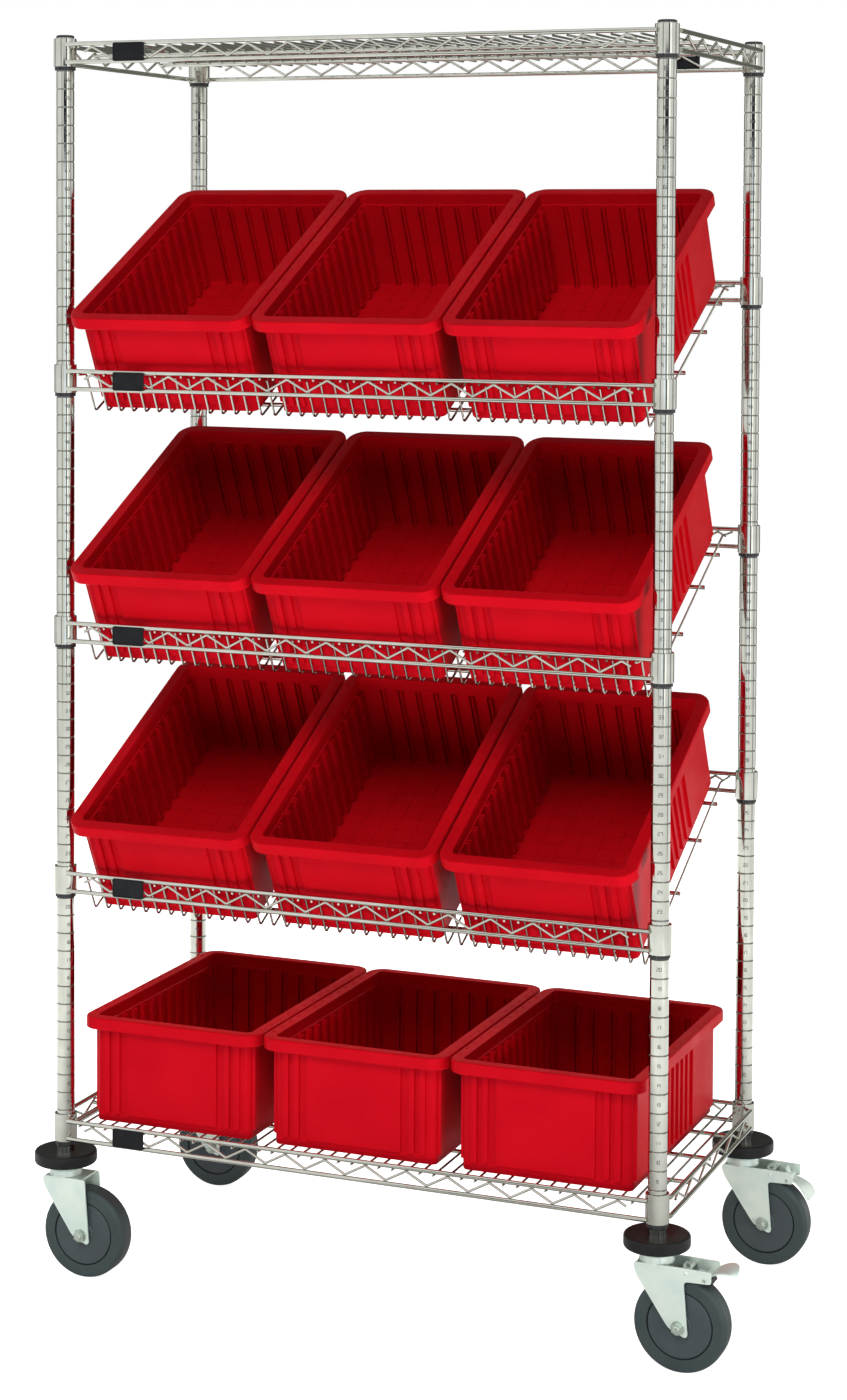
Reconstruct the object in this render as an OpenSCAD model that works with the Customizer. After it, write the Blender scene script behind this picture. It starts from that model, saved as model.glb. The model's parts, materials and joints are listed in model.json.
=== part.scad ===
// Mobile bin cart: four grooved posts, five wire shelves, twelve bins, four swivel casters.
// Millimetres, +Z up, front of the cart toward -Y, origin on the floor under the middle of the box.

/* [Posts] */
// centre distance of the posts across the cart
post_span_x = 880; // [870:1:1000]
// centre distance of the posts front to back
post_span_y = 420; // [415:1:520]
// outer diameter of the post tube
post_d = 25.4; // [24:0.1:26]
// wall of the post tube
post_wall = 1.6; // [1.2:0.1:2]
// height of the lower post end above the floor
post_base = 159; // [158:0.5:165]
// distance from the lower post end to the bottom collar
post_foot = 31.5; // [28:0.5:60]
// post length that stands above the top collar
post_stub = 1; // [0.5:0.5:6]
// pitch of the grooves rolled into the posts
groove_pitch = 25.4; // [25:0.1:26]
// depth of a groove
groove_depth = 0.7; // [0.4:0.1:0.9]
// width of a groove
groove_w = 2.4; // [1.6:0.1:3]
// height of the cap above the post
cap_h = 4; // [3:0.5:8]
// length of the cap plug inside the tube
cap_plug = 14; // [8:1:25]

/* [Shelf levels] */
// grooves between two sloped shelves
level_steps = 14; // [14:1:16]
// grooves between the upper sloped shelf and the top shelf
top_steps = 18; // [17:1:22]
// grooves that the rear of a sloped shelf stands above its front
rise_steps = 5; // [4:1:5]

/* [Collars and trusses] */
// outer diameter of a corner collar
collar_d = 32; // [31.5:0.1:36]
// height of a corner collar
collar_h = 39.5; // [38:0.5:44]
// sleeve radius beyond the post at the upper collar edge
sleeve_top_t = 1; // [0.8:0.1:1.2]
// sleeve radius beyond the post at the lower collar edge
sleeve_low_t = 1.9; // [1.6:0.1:2.1]
// sleeve length that shows under the collar
sleeve_show = 5; // [3:0.5:7]
// width of the split between the two sleeve halves
sleeve_split = 1.2; // [0.8:0.1:2]
// bands on the sleeve's taper, with a fine grip groove between each two
sleeve_bands = 8; // [7:1:10]
// half width of a grip groove, which is as deep as half of this
grip_w = 0.4; // [0.3:0.05:0.5]
// diameter of the truss rods
rod_d = 6.3; // [5:0.1:6.6]
// distance from the collar top to the axis of the upper rod
rod_drop = 8.5; // [6:0.5:9]
// distance between the upper and the lower rod
rod_gap = 25; // [23:0.5:26]
// distance of the rods outside the post axes
rod_out = 14; // [13:0.5:15]
// diameter of the zigzag wire
zig_d = 3.6; // [3:0.1:4]
// bend radius of the zigzag wire
zig_bend = 4; // [3:0.5:5]
// deck wires for each wave of the front and rear zigzag
zig_wires = 3; // [3:1:4]
// peaks of the zigzag along a side
zig_peaks_y = 6; // [5:1:8]
// distance from the post axis to the first peak of a side zigzag
zig_margin = 47; // [40:1:60]
// length across of the free stub at each zigzag end
zig_stub = 12; // [8:1:16]

/* [Decks] */
// diameter of the deck wires
wire_d = 3.2; // [2.5:0.1:3.6]
// deck wires on a sloped shelf; a flat one has two more
wire_count = 42; // [36:1:44]
// distance from the post axis to the outer deck wire of a sloped shelf
wire_margin = 30; // [26:1:40]
// distance that the wire ends stay behind the front of the rod
wire_back = 0.5; // [0.3:0.1:2]
// diameter of the cross rods under a deck
cross_d = 6; // [4:0.1:6.5]
// height of the lip at the front of a sloped shelf
lip_h = 60; // [50:1:66]
// distance from the post axes back to the lip
lip_set = 6; // [5.5:0.5:9]
// level wire length at the rear of a sloped shelf
tail_len = 32; // [25:1:40]
// bend radius of the deck wires
wire_bend = 6; // [4:0.5:8]
// clearance that stands for a weld between two wires
weld_gap = 0.05; // [0.02:0.01:0.1]

/* [Label plates] */
// width of a label plate
plate_w = 48; // [40:1:70]
// height of a label plate
plate_h = 26; // [22:1:30]
// thickness of a label plate
plate_t = 2.6; // [2:0.1:4]
// distance from the post axis to the near plate edge
plate_set = 85; // [60:1:200]
// depth of the recess for a paper label
plate_recess = 0.6; // [0.4:0.1:1]
// frame width round the recess
plate_frame = 2.4; // [1.5:0.1:4]

/* [Bins] */
// width of a bin over its rim
bin_w = 276; // [240:1:277]
// length of a bin over its rim
bin_l = 412; // [380:1:420]
// height of a bin
bin_h = 152; // [130:1:156]
// gap between the rims of two neighbours
bin_gap = 3; // [2:0.5:4]
// overhang of the rim beyond the body
rim_over = 13; // [10:0.5:16]
// height of the rim skirt
rim_h = 17; // [14:0.5:20]
// wall thickness of a bin
bin_wall = 2.6; // [2:0.1:3.4]
// thickness of the bin floor
bin_floor = 3; // [2:0.1:4]
// depth of the outer fins and panels
fin_depth = 4; // [2.5:0.1:5]
// width of an outer fin
fin_w = 8; // [5:0.5:10]
// height at which the outer fins start
fin_base = 13; // [8:1:20]
// pitch of the divider slots inside
slot_pitch = 28; // [24:0.5:32]
// clear width of a divider slot
slot_w = 3.6; // [2.5:0.1:5]
// depth of the ribs beside a slot
slot_depth = 3; // [2:0.1:4]
// thickness of the ribs beside a slot
slot_rib = 2; // [1.5:0.1:3]
// corner radius of the bin body
bin_r = 9; // [8:0.5:12]
// clearance between a bin and what it stands on
bin_rest = 0.3; // [0.25:0.05:0.6]
// clearance between a bin and the lip in front of it
bin_front = 1.5; // [0.8:0.1:4]
// distance from the front post axis to the body of a bottom bin
bottom_set = 13; // [8:0.5:16]

/* [Casters] */
// wheel diameter
wheel_d = 127; // [120:0.5:128]
// wheel width
wheel_w = 32; // [28:0.5:34]
// diameter of the hub disc inside the tyre
hub_d = 90; // [80:0.5:96]
// width of the groove between hub and tyre
hub_groove = 1.6; // [1:0.1:2.5]
// rounding of the tyre shoulders
tyre_round = 7; // [4:0.5:9]
// axle diameter
axle_d = 10; // [8:0.5:12]
// distance of the axle behind the swivel axis
trail = 36; // [34:0.5:38]
// plate thickness of the forks
fork_t = 3; // [2.5:0.1:3.5]
// gap between the wheel hub and a fork leg
fork_gap = 2; // [1.5:0.1:3]
// radius of the rounded lower fork end
fork_end_r = 14; // [12:0.5:16]
// diameter of the kingpin
king_d = 12; // [10:0.5:13]
// radial clearance of a turning fit
fit = 0.05; // [0.02:0.01:0.1]
// diameter of the swivel race
race_d = 46; // [42:0.5:50]
// distance from the post end down to the fork crown
crown_drop = 15; // [14:0.5:16]
// distance from the post end down to the top of the fork's race
race_drop = 7; // [6:0.5:8]
// gap between the flange and the fork's race
race_gap = 0.4; // [0.3:0.1:0.8]
// diameter of the bumper disc
bumper_d = 89; // [80:0.5:96]
// thickness of the bumper disc
bumper_h = 17.5; // [14:0.5:20]
// rounding of the bumper edge
bumper_r = 2.5; // [1:0.5:4]

/* [Brakes] */
// distance of the pedal pivot behind the swivel axis
pivot_x = 71; // [69:0.5:74]
// height of the pedal pivot
pivot_z = 130.5; // [130:0.5:132]
// diameter of the pedal pivot pin
pivot_d = 5; // [4:0.5:6]
// reach of the pedal from its pivot
pedal_reach = 42; // [34:1:50]
// width of the pedal
pedal_w = 29; // [22:0.5:30]
// thickness of the pedal plate
pedal_t = 2.4; // [2:0.1:3]
// pedal angle above level when the brake is free
pedal_up = 18; // [12:1:22]
// swing of the pedal from free to pressed
pedal_swing = 55; // [40:1:58]
// radius of the brake shoe about the pivot
shoe_r = 10.8; // [10:0.1:11]

/* [Hidden] */
$fn = 64;
px = post_span_x / 2;
py = post_span_y / 2;
post_r = post_d / 2;
collar_r = collar_d / 2;
rod_r = rod_d / 2;
wire_r = wire_d / 2;
wire_nub = rod_r - wire_back;
rod_x = px + rod_out;
rod_y = py + rod_out;
wire_pitch = 2 * (px - wire_margin) / (wire_count - 1);
slack = 0.05;
eps = 0.5;
quarter = 90;
half_turn = 180;

// collar bottoms of the five shelves, front and rear
bottom_z = post_base + post_foot;
front_z = [for (i = [1 : 3]) bottom_z + i * level_steps * groove_pitch];
rise = rise_steps * groove_pitch;
top_z = front_z[2] + top_steps * groove_pitch;
post_top = top_z + collar_h + post_stub;
post_len = post_top - post_base;

// slope of the sloped decks: the lip stands square on the slope
lip_y = -py + lip_set;
slope_run = (py - tail_len) - lip_y;
slope_span = sqrt(slope_run * slope_run + rise * rise);
slope = atan2(rise, slope_run) + asin(lip_h / slope_span);
slope_len = sqrt(slope_span * slope_span - lip_h * lip_h);
wire_z = collar_h - rod_drop - rod_r - wire_r - weld_gap;
hook_y = lip_y + lip_h * sin(slope);
hook_dz = wire_z - lip_h * cos(slope);

// bins
body_w = bin_w - 2 * rim_over;
body_l = bin_l - 2 * rim_over;
shell_w = body_w - 2 * fin_depth;
shell_l = body_l - 2 * fin_depth;
room_w = shell_w - 2 * bin_wall;
room_l = shell_l - 2 * bin_wall;
room_r = bin_r - bin_wall;
rim_r = bin_r + fin_depth + rim_over;
bin_pitch = bin_w + bin_gap;
slope_bin_y = wire_r + bin_front;
slope_bin_z = wire_r + bin_rest;
deck_top = wire_z + wire_r;

// casters
wheel_r = wheel_d / 2;
hub_r = hub_d / 2;
leg_in = wheel_w / 2 + fork_gap;
leg_out = leg_in + fork_t;
crown_z = post_base - crown_drop;
race_z = post_base - race_drop;
flange_z = race_z + race_gap;

// the box of the whole cart, for the origin
tip_x = pedal_reach * cos(pedal_up) + pedal_t / 2 * sin(pedal_up);
box_x0 = -px - bumper_d / 2;
box_x1 = px + pivot_x + tip_x;
rim_front = slope_bin_y - rim_over;
box_y0 = hook_y + rim_front * cos(slope) - (slope_bin_z + bin_h) * sin(slope);
box_y1 = py + bumper_d / 2;
shift = [-(box_x0 + box_x1) / 2, -(box_y0 + box_y1) / 2, 0];

corners = [[-1, -1], [1, -1], [1, 1], [-1, 1]];

module placed() {
  translate(shift) children();
}

module at_corner(c) {
  translate([c[0] * px, c[1] * py, 0]) children();
}

// a rod along X between two ends
module bar_x(x0, x1, d) {
  translate([x0, 0, 0]) rotate([0, quarter, 0]) cylinder(d = d, h = x1 - x0);
}

// a rod along Y between two ends
module bar_y(y0, y1, d) {
  translate([0, y0, 0]) rotate([-quarter, 0, 0]) cylinder(d = d, h = y1 - y0);
}

// outline of a rounded rectangle about the origin, with straight chords at the corners
chords = 4;
function round_corner(cx, cy, r, a0) =
  [for (k = [0 : chords]) [cx + r * cos(a0 + k * quarter / chords),
                           cy + r * sin(a0 + k * quarter / chords)]];
function round_box(w, l, r) =
  let (x = w / 2 - r, y = l / 2 - r)
  concat(round_corner(x, y, r, 0), round_corner(-x, y, r, quarter),
         round_corner(-x, -y, r, half_turn), round_corner(x, -y, r, -quarter));

// Bent wires

bend_swell = 0.06;
bend_lap = 0.4;

function heading(a, b) = atan2(b[1] - a[1], b[0] - a[0]);
function unit(a) = [cos(a), sin(a)];
function turn_at(p, i) =
  let (t = heading(p[i], p[i + 1]) - heading(p[i - 1], p[i]))
  t > half_turn ? t - 2 * half_turn : t < -half_turn ? t + 2 * half_turn : t;
function cut_at(p, i, r) =
  (i == 0 || i == len(p) - 1) ? 0 : r * tan(abs(turn_at(p, i)) / 2);

// a wire through the points p of the XY plane, with bends of radius r that swell a hair over the runs
module bent_wire(p, r, d) {
  last = len(p) - 1;
  union() {
    for (i = [0 : last - 1]) {
      a = heading(p[i], p[i + 1]);
      s = p[i] + unit(a) * (cut_at(p, i, r) - (i > 0 ? bend_lap : 0));
      e = p[i + 1] - unit(a) * (cut_at(p, i + 1, r) - (i < last - 1 ? bend_lap : 0));
      translate([s[0], s[1], 0]) rotate([0, 0, a]) bar_x(0, norm(e - s), d);
    }
    for (i = [1 : last - 1]) {
      a = heading(p[i - 1], p[i]);
      t = turn_at(p, i);
      side = t > 0 ? 1 : -1;
      m = p[i] - unit(a) * cut_at(p, i, r) + side * r * unit(a + quarter);
      translate([m[0], m[1], 0]) rotate([0, 0, t > 0 ? a - quarter : a + quarter + t])
        rotate_extrude(angle = abs(t)) translate([r, 0]) circle(d = d + 2 * bend_swell);
    }
  }
}

// Posts

module post(c) {
  groove_0 = post_foot + collar_h / 2 - floor((post_foot + collar_h / 2) / groove_pitch) * groove_pitch;
  count = floor((post_len - groove_0 - groove_w) / groove_pitch);
  outer = [for (i = [0 : count]) for (k = [0 : 3])
    [post_r - (k == 1 || k == 2 ? groove_depth : 0),
     groove_0 + i * groove_pitch + (k < 2 ? -1 : 1) * groove_w / 2
       + (k == 1 ? groove_depth / 2 : k == 2 ? -groove_depth / 2 : 0)]];
  profile = concat([[post_r - post_wall, 0], [post_r, 0]], outer,
                   [[post_r, post_len], [post_r - post_wall, post_len]]);
  color("silver") at_corner(c) translate([0, 0, post_base]) rotate_extrude() polygon(profile);
}

module post_caps() {
  lid = [[0, 0], [post_r, 0], [post_r, cap_h / 2], [post_r - cap_h / 4, cap_h], [0, cap_h]];
  color("dimgray") for (c = corners) at_corner(c) translate([0, 0, post_top + slack]) {
    rotate_extrude() polygon(lid);
    translate([0, 0, -cap_plug]) cylinder(r = post_r - post_wall - slack, h = cap_plug + eps);
  }
}

// Collars and the split sleeves that wedge them on the posts

// sleeve radius at height z above the collar bottom
function sleeve_at(z) = post_r + sleeve_low_t - (sleeve_low_t - sleeve_top_t) * z / collar_h;

module collar() {
  rotate_extrude() polygon([[sleeve_at(0) + slack, 0], [collar_r, 0], [collar_r, collar_h],
                            [sleeve_at(collar_h) + slack, collar_h]]);
}

module sleeve() {
  bead = groove_depth / 2;
  mid = collar_h / 2;
  bead_h = groove_w / 4;
  split = 2 * asin(sleeve_split / 2 / post_r);
  grips = [for (i = [1 : sleeve_bands - 1], step = [-1, 0, 1])
    let (z = i * collar_h / sleeve_bands + step * grip_w) [sleeve_at(z) - (step == 0 ? grip_w / 2 : 0), z]];
  bore = [[post_r + slack, collar_h], [post_r + slack, mid + bead_h], [post_r - bead, mid + bead_h / 2],
          [post_r - bead, mid - bead_h / 2], [post_r + slack, mid - bead_h], [post_r + slack, -sleeve_show]];
  taper = concat([[sleeve_at(0), -sleeve_show], [sleeve_at(0), 0]], grips, [[sleeve_at(collar_h), collar_h]]);
  profile = concat(taper, bore);
  for (start = [0, half_turn]) rotate([0, 0, start + split / 2])
    rotate_extrude(angle = half_turn - split) polygon(profile);
}

module split_sleeves() {
  color("black") for (c = corners) at_corner(c) {
    translate([0, 0, bottom_z]) sleeve();
    translate([0, 0, top_z]) sleeve();
    for (z = front_z) translate([0, 0, z + (c[1] > 0 ? rise : 0)]) sleeve();
  }
}

// Trusses: two rods with a zigzag wire between them

// zigzag in the XY plane along X, between rods at y = 0 and y = -rod_gap
module zigzag(first, half_pitch, peaks) {
  tall = rod_gap - rod_d - zig_d - 2 * weld_gap;
  inner = tall - 2 * zig_bend;
  lean = atan2(inner, half_pitch) + asin(2 * zig_bend / sqrt(half_pitch * half_pitch + inner * inner));
  vertex = inner / 2 + zig_bend / cos(lean);
  stub_y = vertex - zig_stub * tan(lean);
  waves = 2 * peaks - 2;
  inside = [for (i = [0 : waves]) [first + i * half_pitch, i % 2 == 0 ? vertex : -vertex]];
  path = concat([[first - zig_stub, stub_y]], inside, [[first + waves * half_pitch + zig_stub, stub_y]]);
  translate([0, -rod_gap / 2, 0]) bent_wire(path, zig_bend, zig_d);
}

module upright() {
  rotate([quarter, 0, 0]) children();
}

// a rod beside a post ends where its inner flank meets a circle of radius r about the post
function rod_end(r) = sqrt(r * r - (rod_out - rod_r) * (rod_out - rod_r));

// deck wires that meet a peak of the front and rear zigzag, counted from the left one of a sloped shelf
first_peak = 1;
peaks_x = floor((wire_count - 1 - 2 * first_peak) / zig_wires) + 1;
function at_peak(k) = k >= first_peak && (k - first_peak) % zig_wires == 0;

// a truss along X welded to the outer side of two collars, with the collar bottoms at z = 0
module truss_x(side) {
  end = rod_end(sleeve_at(0) + 2 * slack);
  union() {
    for (s = [-1, 1]) translate([s * px, side * py, 0]) collar();
    for (k = [0, 1]) translate([0, side * rod_y, collar_h - rod_drop - k * rod_gap])
      bar_x(-px + end, px - end, rod_d);
  }
  translate([0, side * rod_y, collar_h - rod_drop]) upright()
    zigzag(-px + wire_margin + first_peak * wire_pitch, zig_wires * wire_pitch / 2, peaks_x);
}

// a truss along Y that leans on the outer side of two collars, with the collar bottoms at z = 0
module truss_y(side) {
  end = rod_end(collar_r + weld_gap);
  translate([side * rod_x, 0, collar_h - rod_drop]) {
    for (k = [0, 1]) translate([0, 0, -k * rod_gap]) bar_y(-py + end, py - end, rod_d);
    rotate([0, 0, quarter]) upright()
      zigzag(zig_margin - py, (py - zig_margin) / (zig_peaks_y - 1), zig_peaks_y);
  }
}

module flat_trusses(z) {
  color("gainsboro") for (side = [-1, 1]) translate([0, 0, z]) truss_x(side);
}

module flat_sides(z) {
  color("gainsboro") for (side = [-1, 1]) translate([0, 0, z]) truss_y(side);
}

module slope_front(i) {
  color("gainsboro") translate([0, 0, front_z[i]]) truss_x(-1);
}

module slope_rear(i) {
  color("gainsboro") translate([0, 0, front_z[i] + rise]) truss_x(1);
}

// Decks

// a wire passes under the rod and ends near its front, but behind the zigzag where that has a peak
function wire_out(k) = rod_out + (at_peak(k) ? -zig_d / 2 - bend_swell - weld_gap : wire_nub);
function wire_x(k) = wire_margin - px + k * wire_pitch;
cross_flat = [-0.25, 0, 0.25];
cross_slope = [0.1, 0.39, 0.68, 0.89];
cross_dz = wire_r + cross_d / 2 + weld_gap;

// wires as on a sloped shelf, and one more at each side that ends at the collars
module flat_deck(z) {
  reach = rod_x - zig_d / 2 - weld_gap;
  beside = wire_margin - wire_pitch - wire_r;
  side_end = py - sqrt(max(0, (collar_r + weld_gap) * (collar_r + weld_gap) - beside * beside));
  color("gainsboro") translate([0, 0, z + wire_z]) {
    for (k = [0 : wire_count - 1])
      translate([wire_x(k), 0, 0]) bar_y(-py - wire_out(k), py + wire_out(k), wire_d);
    for (k = [-1, wire_count]) translate([wire_x(k), 0, 0]) bar_y(-side_end, side_end, wire_d);
    for (f = cross_flat) translate([0, f * post_span_y, -cross_dz]) bar_x(-reach, reach, cross_d);
  }
}

// frame of a sloped shelf: origin where lip and slope meet, Y up the slope, Z square to it
module on_slope(i) {
  translate([0, hook_y, front_z[i] + hook_dz]) rotate([slope, 0, 0]) children();
}

// a wire through points given as [along the slope, square to the slope]
module slope_wire(p) {
  rotate([quarter, 0, quarter]) bent_wire(p, wire_bend, wire_d);
}

hook_cut = wire_bend + weld_gap;

// point on the level run of wire k, behind the upper end of the slope
function tail(k) = [slope_len, 0] + (tail_len + wire_out(k)) * [cos(slope), -sin(slope)];

// front end of wire k, level with the upper end of the lip
function nub(k) = [0, lip_h] + (lip_set + wire_out(k)) * [-cos(slope), sin(slope)];

module slope_mat(i) {
  reach = px - wire_margin + cross_d;
  color("gainsboro") on_slope(i) {
    for (k = [0 : wire_count - 1])
      translate([wire_x(k), 0, 0]) slope_wire([[hook_cut, 0], [slope_len, 0], tail(k)]);
    for (f = cross_slope) translate([0, f * slope_len, -cross_dz]) bar_x(-reach, reach, cross_d);
  }
}

module slope_lip(i) {
  color("gainsboro") on_slope(i) for (k = [0 : wire_count - 1]) translate([wire_x(k), 0, 0])
    slope_wire([nub(k), [0, lip_h], [0, 0], [wire_bend + weld_gap / 2, 0]]);
}

// Label plates on the front trusses and one on the rear of the top shelf

module plate() {
  y0 = rod_r + slack;
  mid = collar_h - rod_drop - rod_gap / 2;
  difference() {
    translate([-plate_w / 2, -y0 - plate_t, mid - plate_h / 2]) cube([plate_w, plate_t, plate_h]);
    translate([-plate_w / 2 + plate_frame, -y0 - plate_t - eps, mid - plate_h / 2 + plate_frame])
      cube([plate_w - 2 * plate_frame, plate_recess + eps, plate_h - 2 * plate_frame]);
  }
}

module label_plates() {
  x = px - plate_set - plate_w / 2;
  color("black") {
    for (z = concat([bottom_z, top_z], front_z)) translate([-x, -rod_y, z]) plate();
    translate([x, rod_y, top_z]) rotate([0, 0, half_turn]) plate();
  }
}

// Bins: base in the middle of the body, front wall toward -Y

short_slots = floor((room_w / 2 - bin_r) / slot_pitch);
long_slots = floor((room_l / 2 - bin_r) / slot_pitch);
panel_part = 0.56;
long_panel = 0.27;
fin_steps = 6;

module outer_fins() {
  panel_w = panel_part * body_w;
  fin_x = [panel_w / 2 + fin_w * 2, panel_w / 2 + fin_w * 4];
  square([panel_w, body_l], center = true);
  for (x = fin_x) for (s = [-1, 1]) translate([s * x, 0]) square([fin_w, body_l], center = true);
  part = long_panel * body_l;
  mid_l = shell_l - 2 * part - 2 * fin_w;
  for (s = [-1, 1]) translate([0, s * (shell_l / 2 - fin_w - part / 2)])
    square([body_w, part], center = true);
  for (k = [1 : fin_steps]) translate([0, mid_l * (k / (fin_steps + 1) - 1 / 2)])
    square([body_w, fin_w], center = true);
}

// pairs of ribs that hold a divider, along a wall on the X axis
module slot_pairs(n) {
  off = (slot_w + slot_rib) / 2;
  for (k = [-n : n]) for (s = [-1, 1])
    translate([k * slot_pitch + s * off - slot_rib / 2, -bin_wall / 2])
      square([slot_rib, slot_depth + bin_wall / 2]);
}

module wall_ribs() {
  for (s = [0, 1]) rotate([0, 0, s * half_turn]) {
    translate([0, -room_l / 2]) slot_pairs(short_slots);
    rotate([0, 0, quarter]) translate([0, -room_w / 2]) slot_pairs(long_slots);
  }
}

module shell_plan() {
  polygon(round_box(shell_w, shell_l, bin_r));
}

module room_plan() {
  polygon(round_box(room_w, room_l, room_r));
}

module rim_plan(inset) {
  polygon(round_box(bin_w - 2 * inset, bin_l - 2 * inset, rim_r - inset));
}

module bin() {
  rim_z = bin_h - rim_h;
  color("firebrick") union() {
    linear_extrude(bin_floor) shell_plan();
    translate([0, 0, bin_floor]) linear_extrude(fin_base - bin_floor) difference() {
      shell_plan();
      room_plan();
    }
    translate([0, 0, fin_base]) linear_extrude(rim_z - fin_base) union() {
      difference() {
        union() {
          shell_plan();
          outer_fins();
        }
        room_plan();
      }
      wall_ribs();
    }
    translate([0, 0, rim_z]) linear_extrude(rim_h) difference() {
      shell_plan();
      room_plan();
    }
    translate([0, 0, bin_h - bin_wall]) linear_extrude(bin_wall) difference() {
      rim_plan(0);
      room_plan();
    }
    translate([0, 0, rim_z]) linear_extrude(rim_h) difference() {
      rim_plan(0);
      rim_plan(bin_wall);
    }
  }
}

module slope_bin(i, col) {
  on_slope(i) translate([(col - 1) * bin_pitch, slope_bin_y + body_l / 2, slope_bin_z]) bin();
}

module bottom_bin(col) {
  translate([(col - 1) * bin_pitch, -py + bottom_set + body_l / 2, bottom_z + deck_top + bin_rest]) bin();
}

// Casters: origin on the swivel axis at the floor, wheel trailing toward +X

module bumpers() {
  r = bumper_d / 2;
  profile = [[post_r + slack, 0], [r - bumper_r, 0], [r, bumper_r], [r, bumper_h - bumper_r],
             [r - bumper_r, bumper_h], [post_r + slack, bumper_h]];
  color("black") for (c = corners) at_corner(c) translate([0, 0, post_base + slack])
    rotate_extrude() polygon(profile);
}

stem_len = 60;
king_head_h = 4;
king_head_r = 10;

module caster_stems() {
  r_stem = post_r - post_wall - slack;
  head_z = crown_z - fork_t - slack;
  profile = [[0, head_z - king_head_h], [king_head_r, head_z - king_head_h],
             [king_head_r, head_z], [king_d / 2, head_z],
             [king_d / 2, flange_z], [race_d / 2, flange_z], [race_d / 2, post_base - slack],
             [r_stem, post_base - slack], [r_stem, post_base + stem_len], [0, post_base + stem_len]];
  color("lightgray") for (c = corners) at_corner(c) rotate_extrude() polygon(profile);
}

// side view of a fork leg as [x, z]
fork_front = -25;
fork_back = 42;
fork_brow = 10;
arm_end = 7;
arm_back = pivot_x + arm_end;
arm_low = pivot_z - 6.5;
arm_high = pivot_z + 6;
arm_chamfer = 4;
crown_chamfer = 8;

function arc_points(cx, cz, r, a0, a1, n) =
  [for (k = [0 : n]) [cx + r * cos(a0 + (a1 - a0) * k / n), cz + r * sin(a0 + (a1 - a0) * k / n)]];

end_steps = 8;
end_start = -155;

function leg_outline(braked) =
  concat([[fork_front, crown_z], [fork_front, crown_z - fork_brow]],
         arc_points(trail, wheel_r, fork_end_r, end_start, 0, end_steps),
         braked ? [[fork_back, arm_low - arm_chamfer], [fork_back + arm_chamfer, arm_low],
                   [arm_back - arm_chamfer, arm_low], [arm_back, arm_low + arm_chamfer],
                   [arm_back, arm_high], [fork_back, crown_z]]
                : [[fork_back, crown_z - crown_chamfer], [fork_back - crown_chamfer, crown_z]]);

module fork(braked) {
  top = braked ? fork_back : fork_back - crown_chamfer;
  color("lightsteelblue") difference() {
    union() {
      for (s = [-1, 1]) translate([0, s * (leg_in + fork_t / 2) + fork_t / 2, 0])
        rotate([quarter, 0, 0]) linear_extrude(fork_t) polygon(leg_outline(braked));
      translate([fork_front, -leg_in - eps, crown_z - fork_t])
        cube([top - fork_front, 2 * (leg_in + eps), fork_t]);
      translate([0, 0, crown_z - fork_t / 2]) cylinder(d = race_d, h = race_z - crown_z + fork_t / 2);
    }
    cylinder(d = king_d + 2 * fit, h = post_base);
    translate([trail, 0, wheel_r]) bar_y(-2 * leg_out, 2 * leg_out, axle_d + slack);
    if (braked) translate([pivot_x, 0, pivot_z]) bar_y(-2 * leg_out, 2 * leg_out, pivot_d + slack);
  }
}

nut_w = 16;
nut_h = 6;
washer_d = 19;
washer_t = 1.5;
axle_end = 3;
pin_end = 1;
hex = 6;

// wheel bolt with washers and nuts; a braked caster has the pedal pin too
module axle(braked) {
  color("lightgray") {
    translate([trail, 0, wheel_r]) union() {
      bar_y(-leg_out - washer_t - nut_h - axle_end, leg_out + washer_t + nut_h / 2, axle_d);
      for (s = [-1, 1]) translate([0, s * (leg_out + slack + washer_t / 2), 0])
        bar_y(-washer_t / 2, washer_t / 2, washer_d);
      for (s = [-1, 1]) translate([0, s * (leg_out + slack + washer_t + nut_h / 2), 0])
        rotate([quarter, 0, 0]) translate([0, 0, -nut_h / 2]) cylinder(d = nut_w, h = nut_h, $fn = hex);
    }
    if (braked) translate([pivot_x, 0, pivot_z])
      bar_y(-leg_out - pin_end, leg_out + pin_end, pivot_d - slack);
  }
}

hub_boss_d = 30;
hub_sink = 1;
groove_sink = 3;

module hub() {
  boss = wheel_w / 2 + fork_gap / 2;
  disc = wheel_w / 2 - hub_sink;
  rim = wheel_w / 2 - groove_sink;
  half = [[axle_d / 2 + fit, boss], [hub_boss_d / 2, boss], [hub_boss_d / 2, disc],
          [hub_r - hub_groove, disc], [hub_r - hub_groove, rim], [hub_r, rim]];
  mirrored = [for (k = [len(half) - 1 : -1 : 0]) [half[k][0], -half[k][1]]];
  color("slategray") translate([trail, 0, wheel_r]) rotate([quarter, 0, 0]) rotate_extrude()
    polygon(concat(half, mirrored));
}

module tyre() {
  side = wheel_w / 2;
  w = side - tyre_round;
  r = wheel_r - tyre_round;
  shoulder = concat(arc_points(r, -w, tyre_round, -quarter, 0, end_steps),
                    arc_points(r, w, tyre_round, 0, quarter, end_steps));
  color("dimgray") translate([trail, 0, wheel_r]) rotate([quarter, 0, 0]) rotate_extrude()
    polygon(concat([[hub_r + slack, -side]], shoulder, [[hub_r + slack, side]]));
}

// Brake rocker: origin on its pivot, level when its angle is zero

barrel_d = pivot_d + 4;
tab_reach = 15;
tab_lean = 150;

module pedal(angle) {
  color("lightsteelblue") translate([pivot_x, 0, pivot_z]) rotate([0, -angle, 0]) difference() {
    union() {
      bar_y(-pedal_w / 2, pedal_w / 2, barrel_d);
      translate([0, -pedal_w / 2, -pedal_t / 2]) cube([pedal_reach, pedal_w, pedal_t]);
      rotate([0, -tab_lean, 0]) translate([0, -pedal_w / 4, -pedal_t / 2])
        cube([tab_reach, pedal_w / 2, pedal_t]);
    }
    bar_y(-pedal_w, pedal_w, pivot_d + 2 * fit);
  }
}

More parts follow.
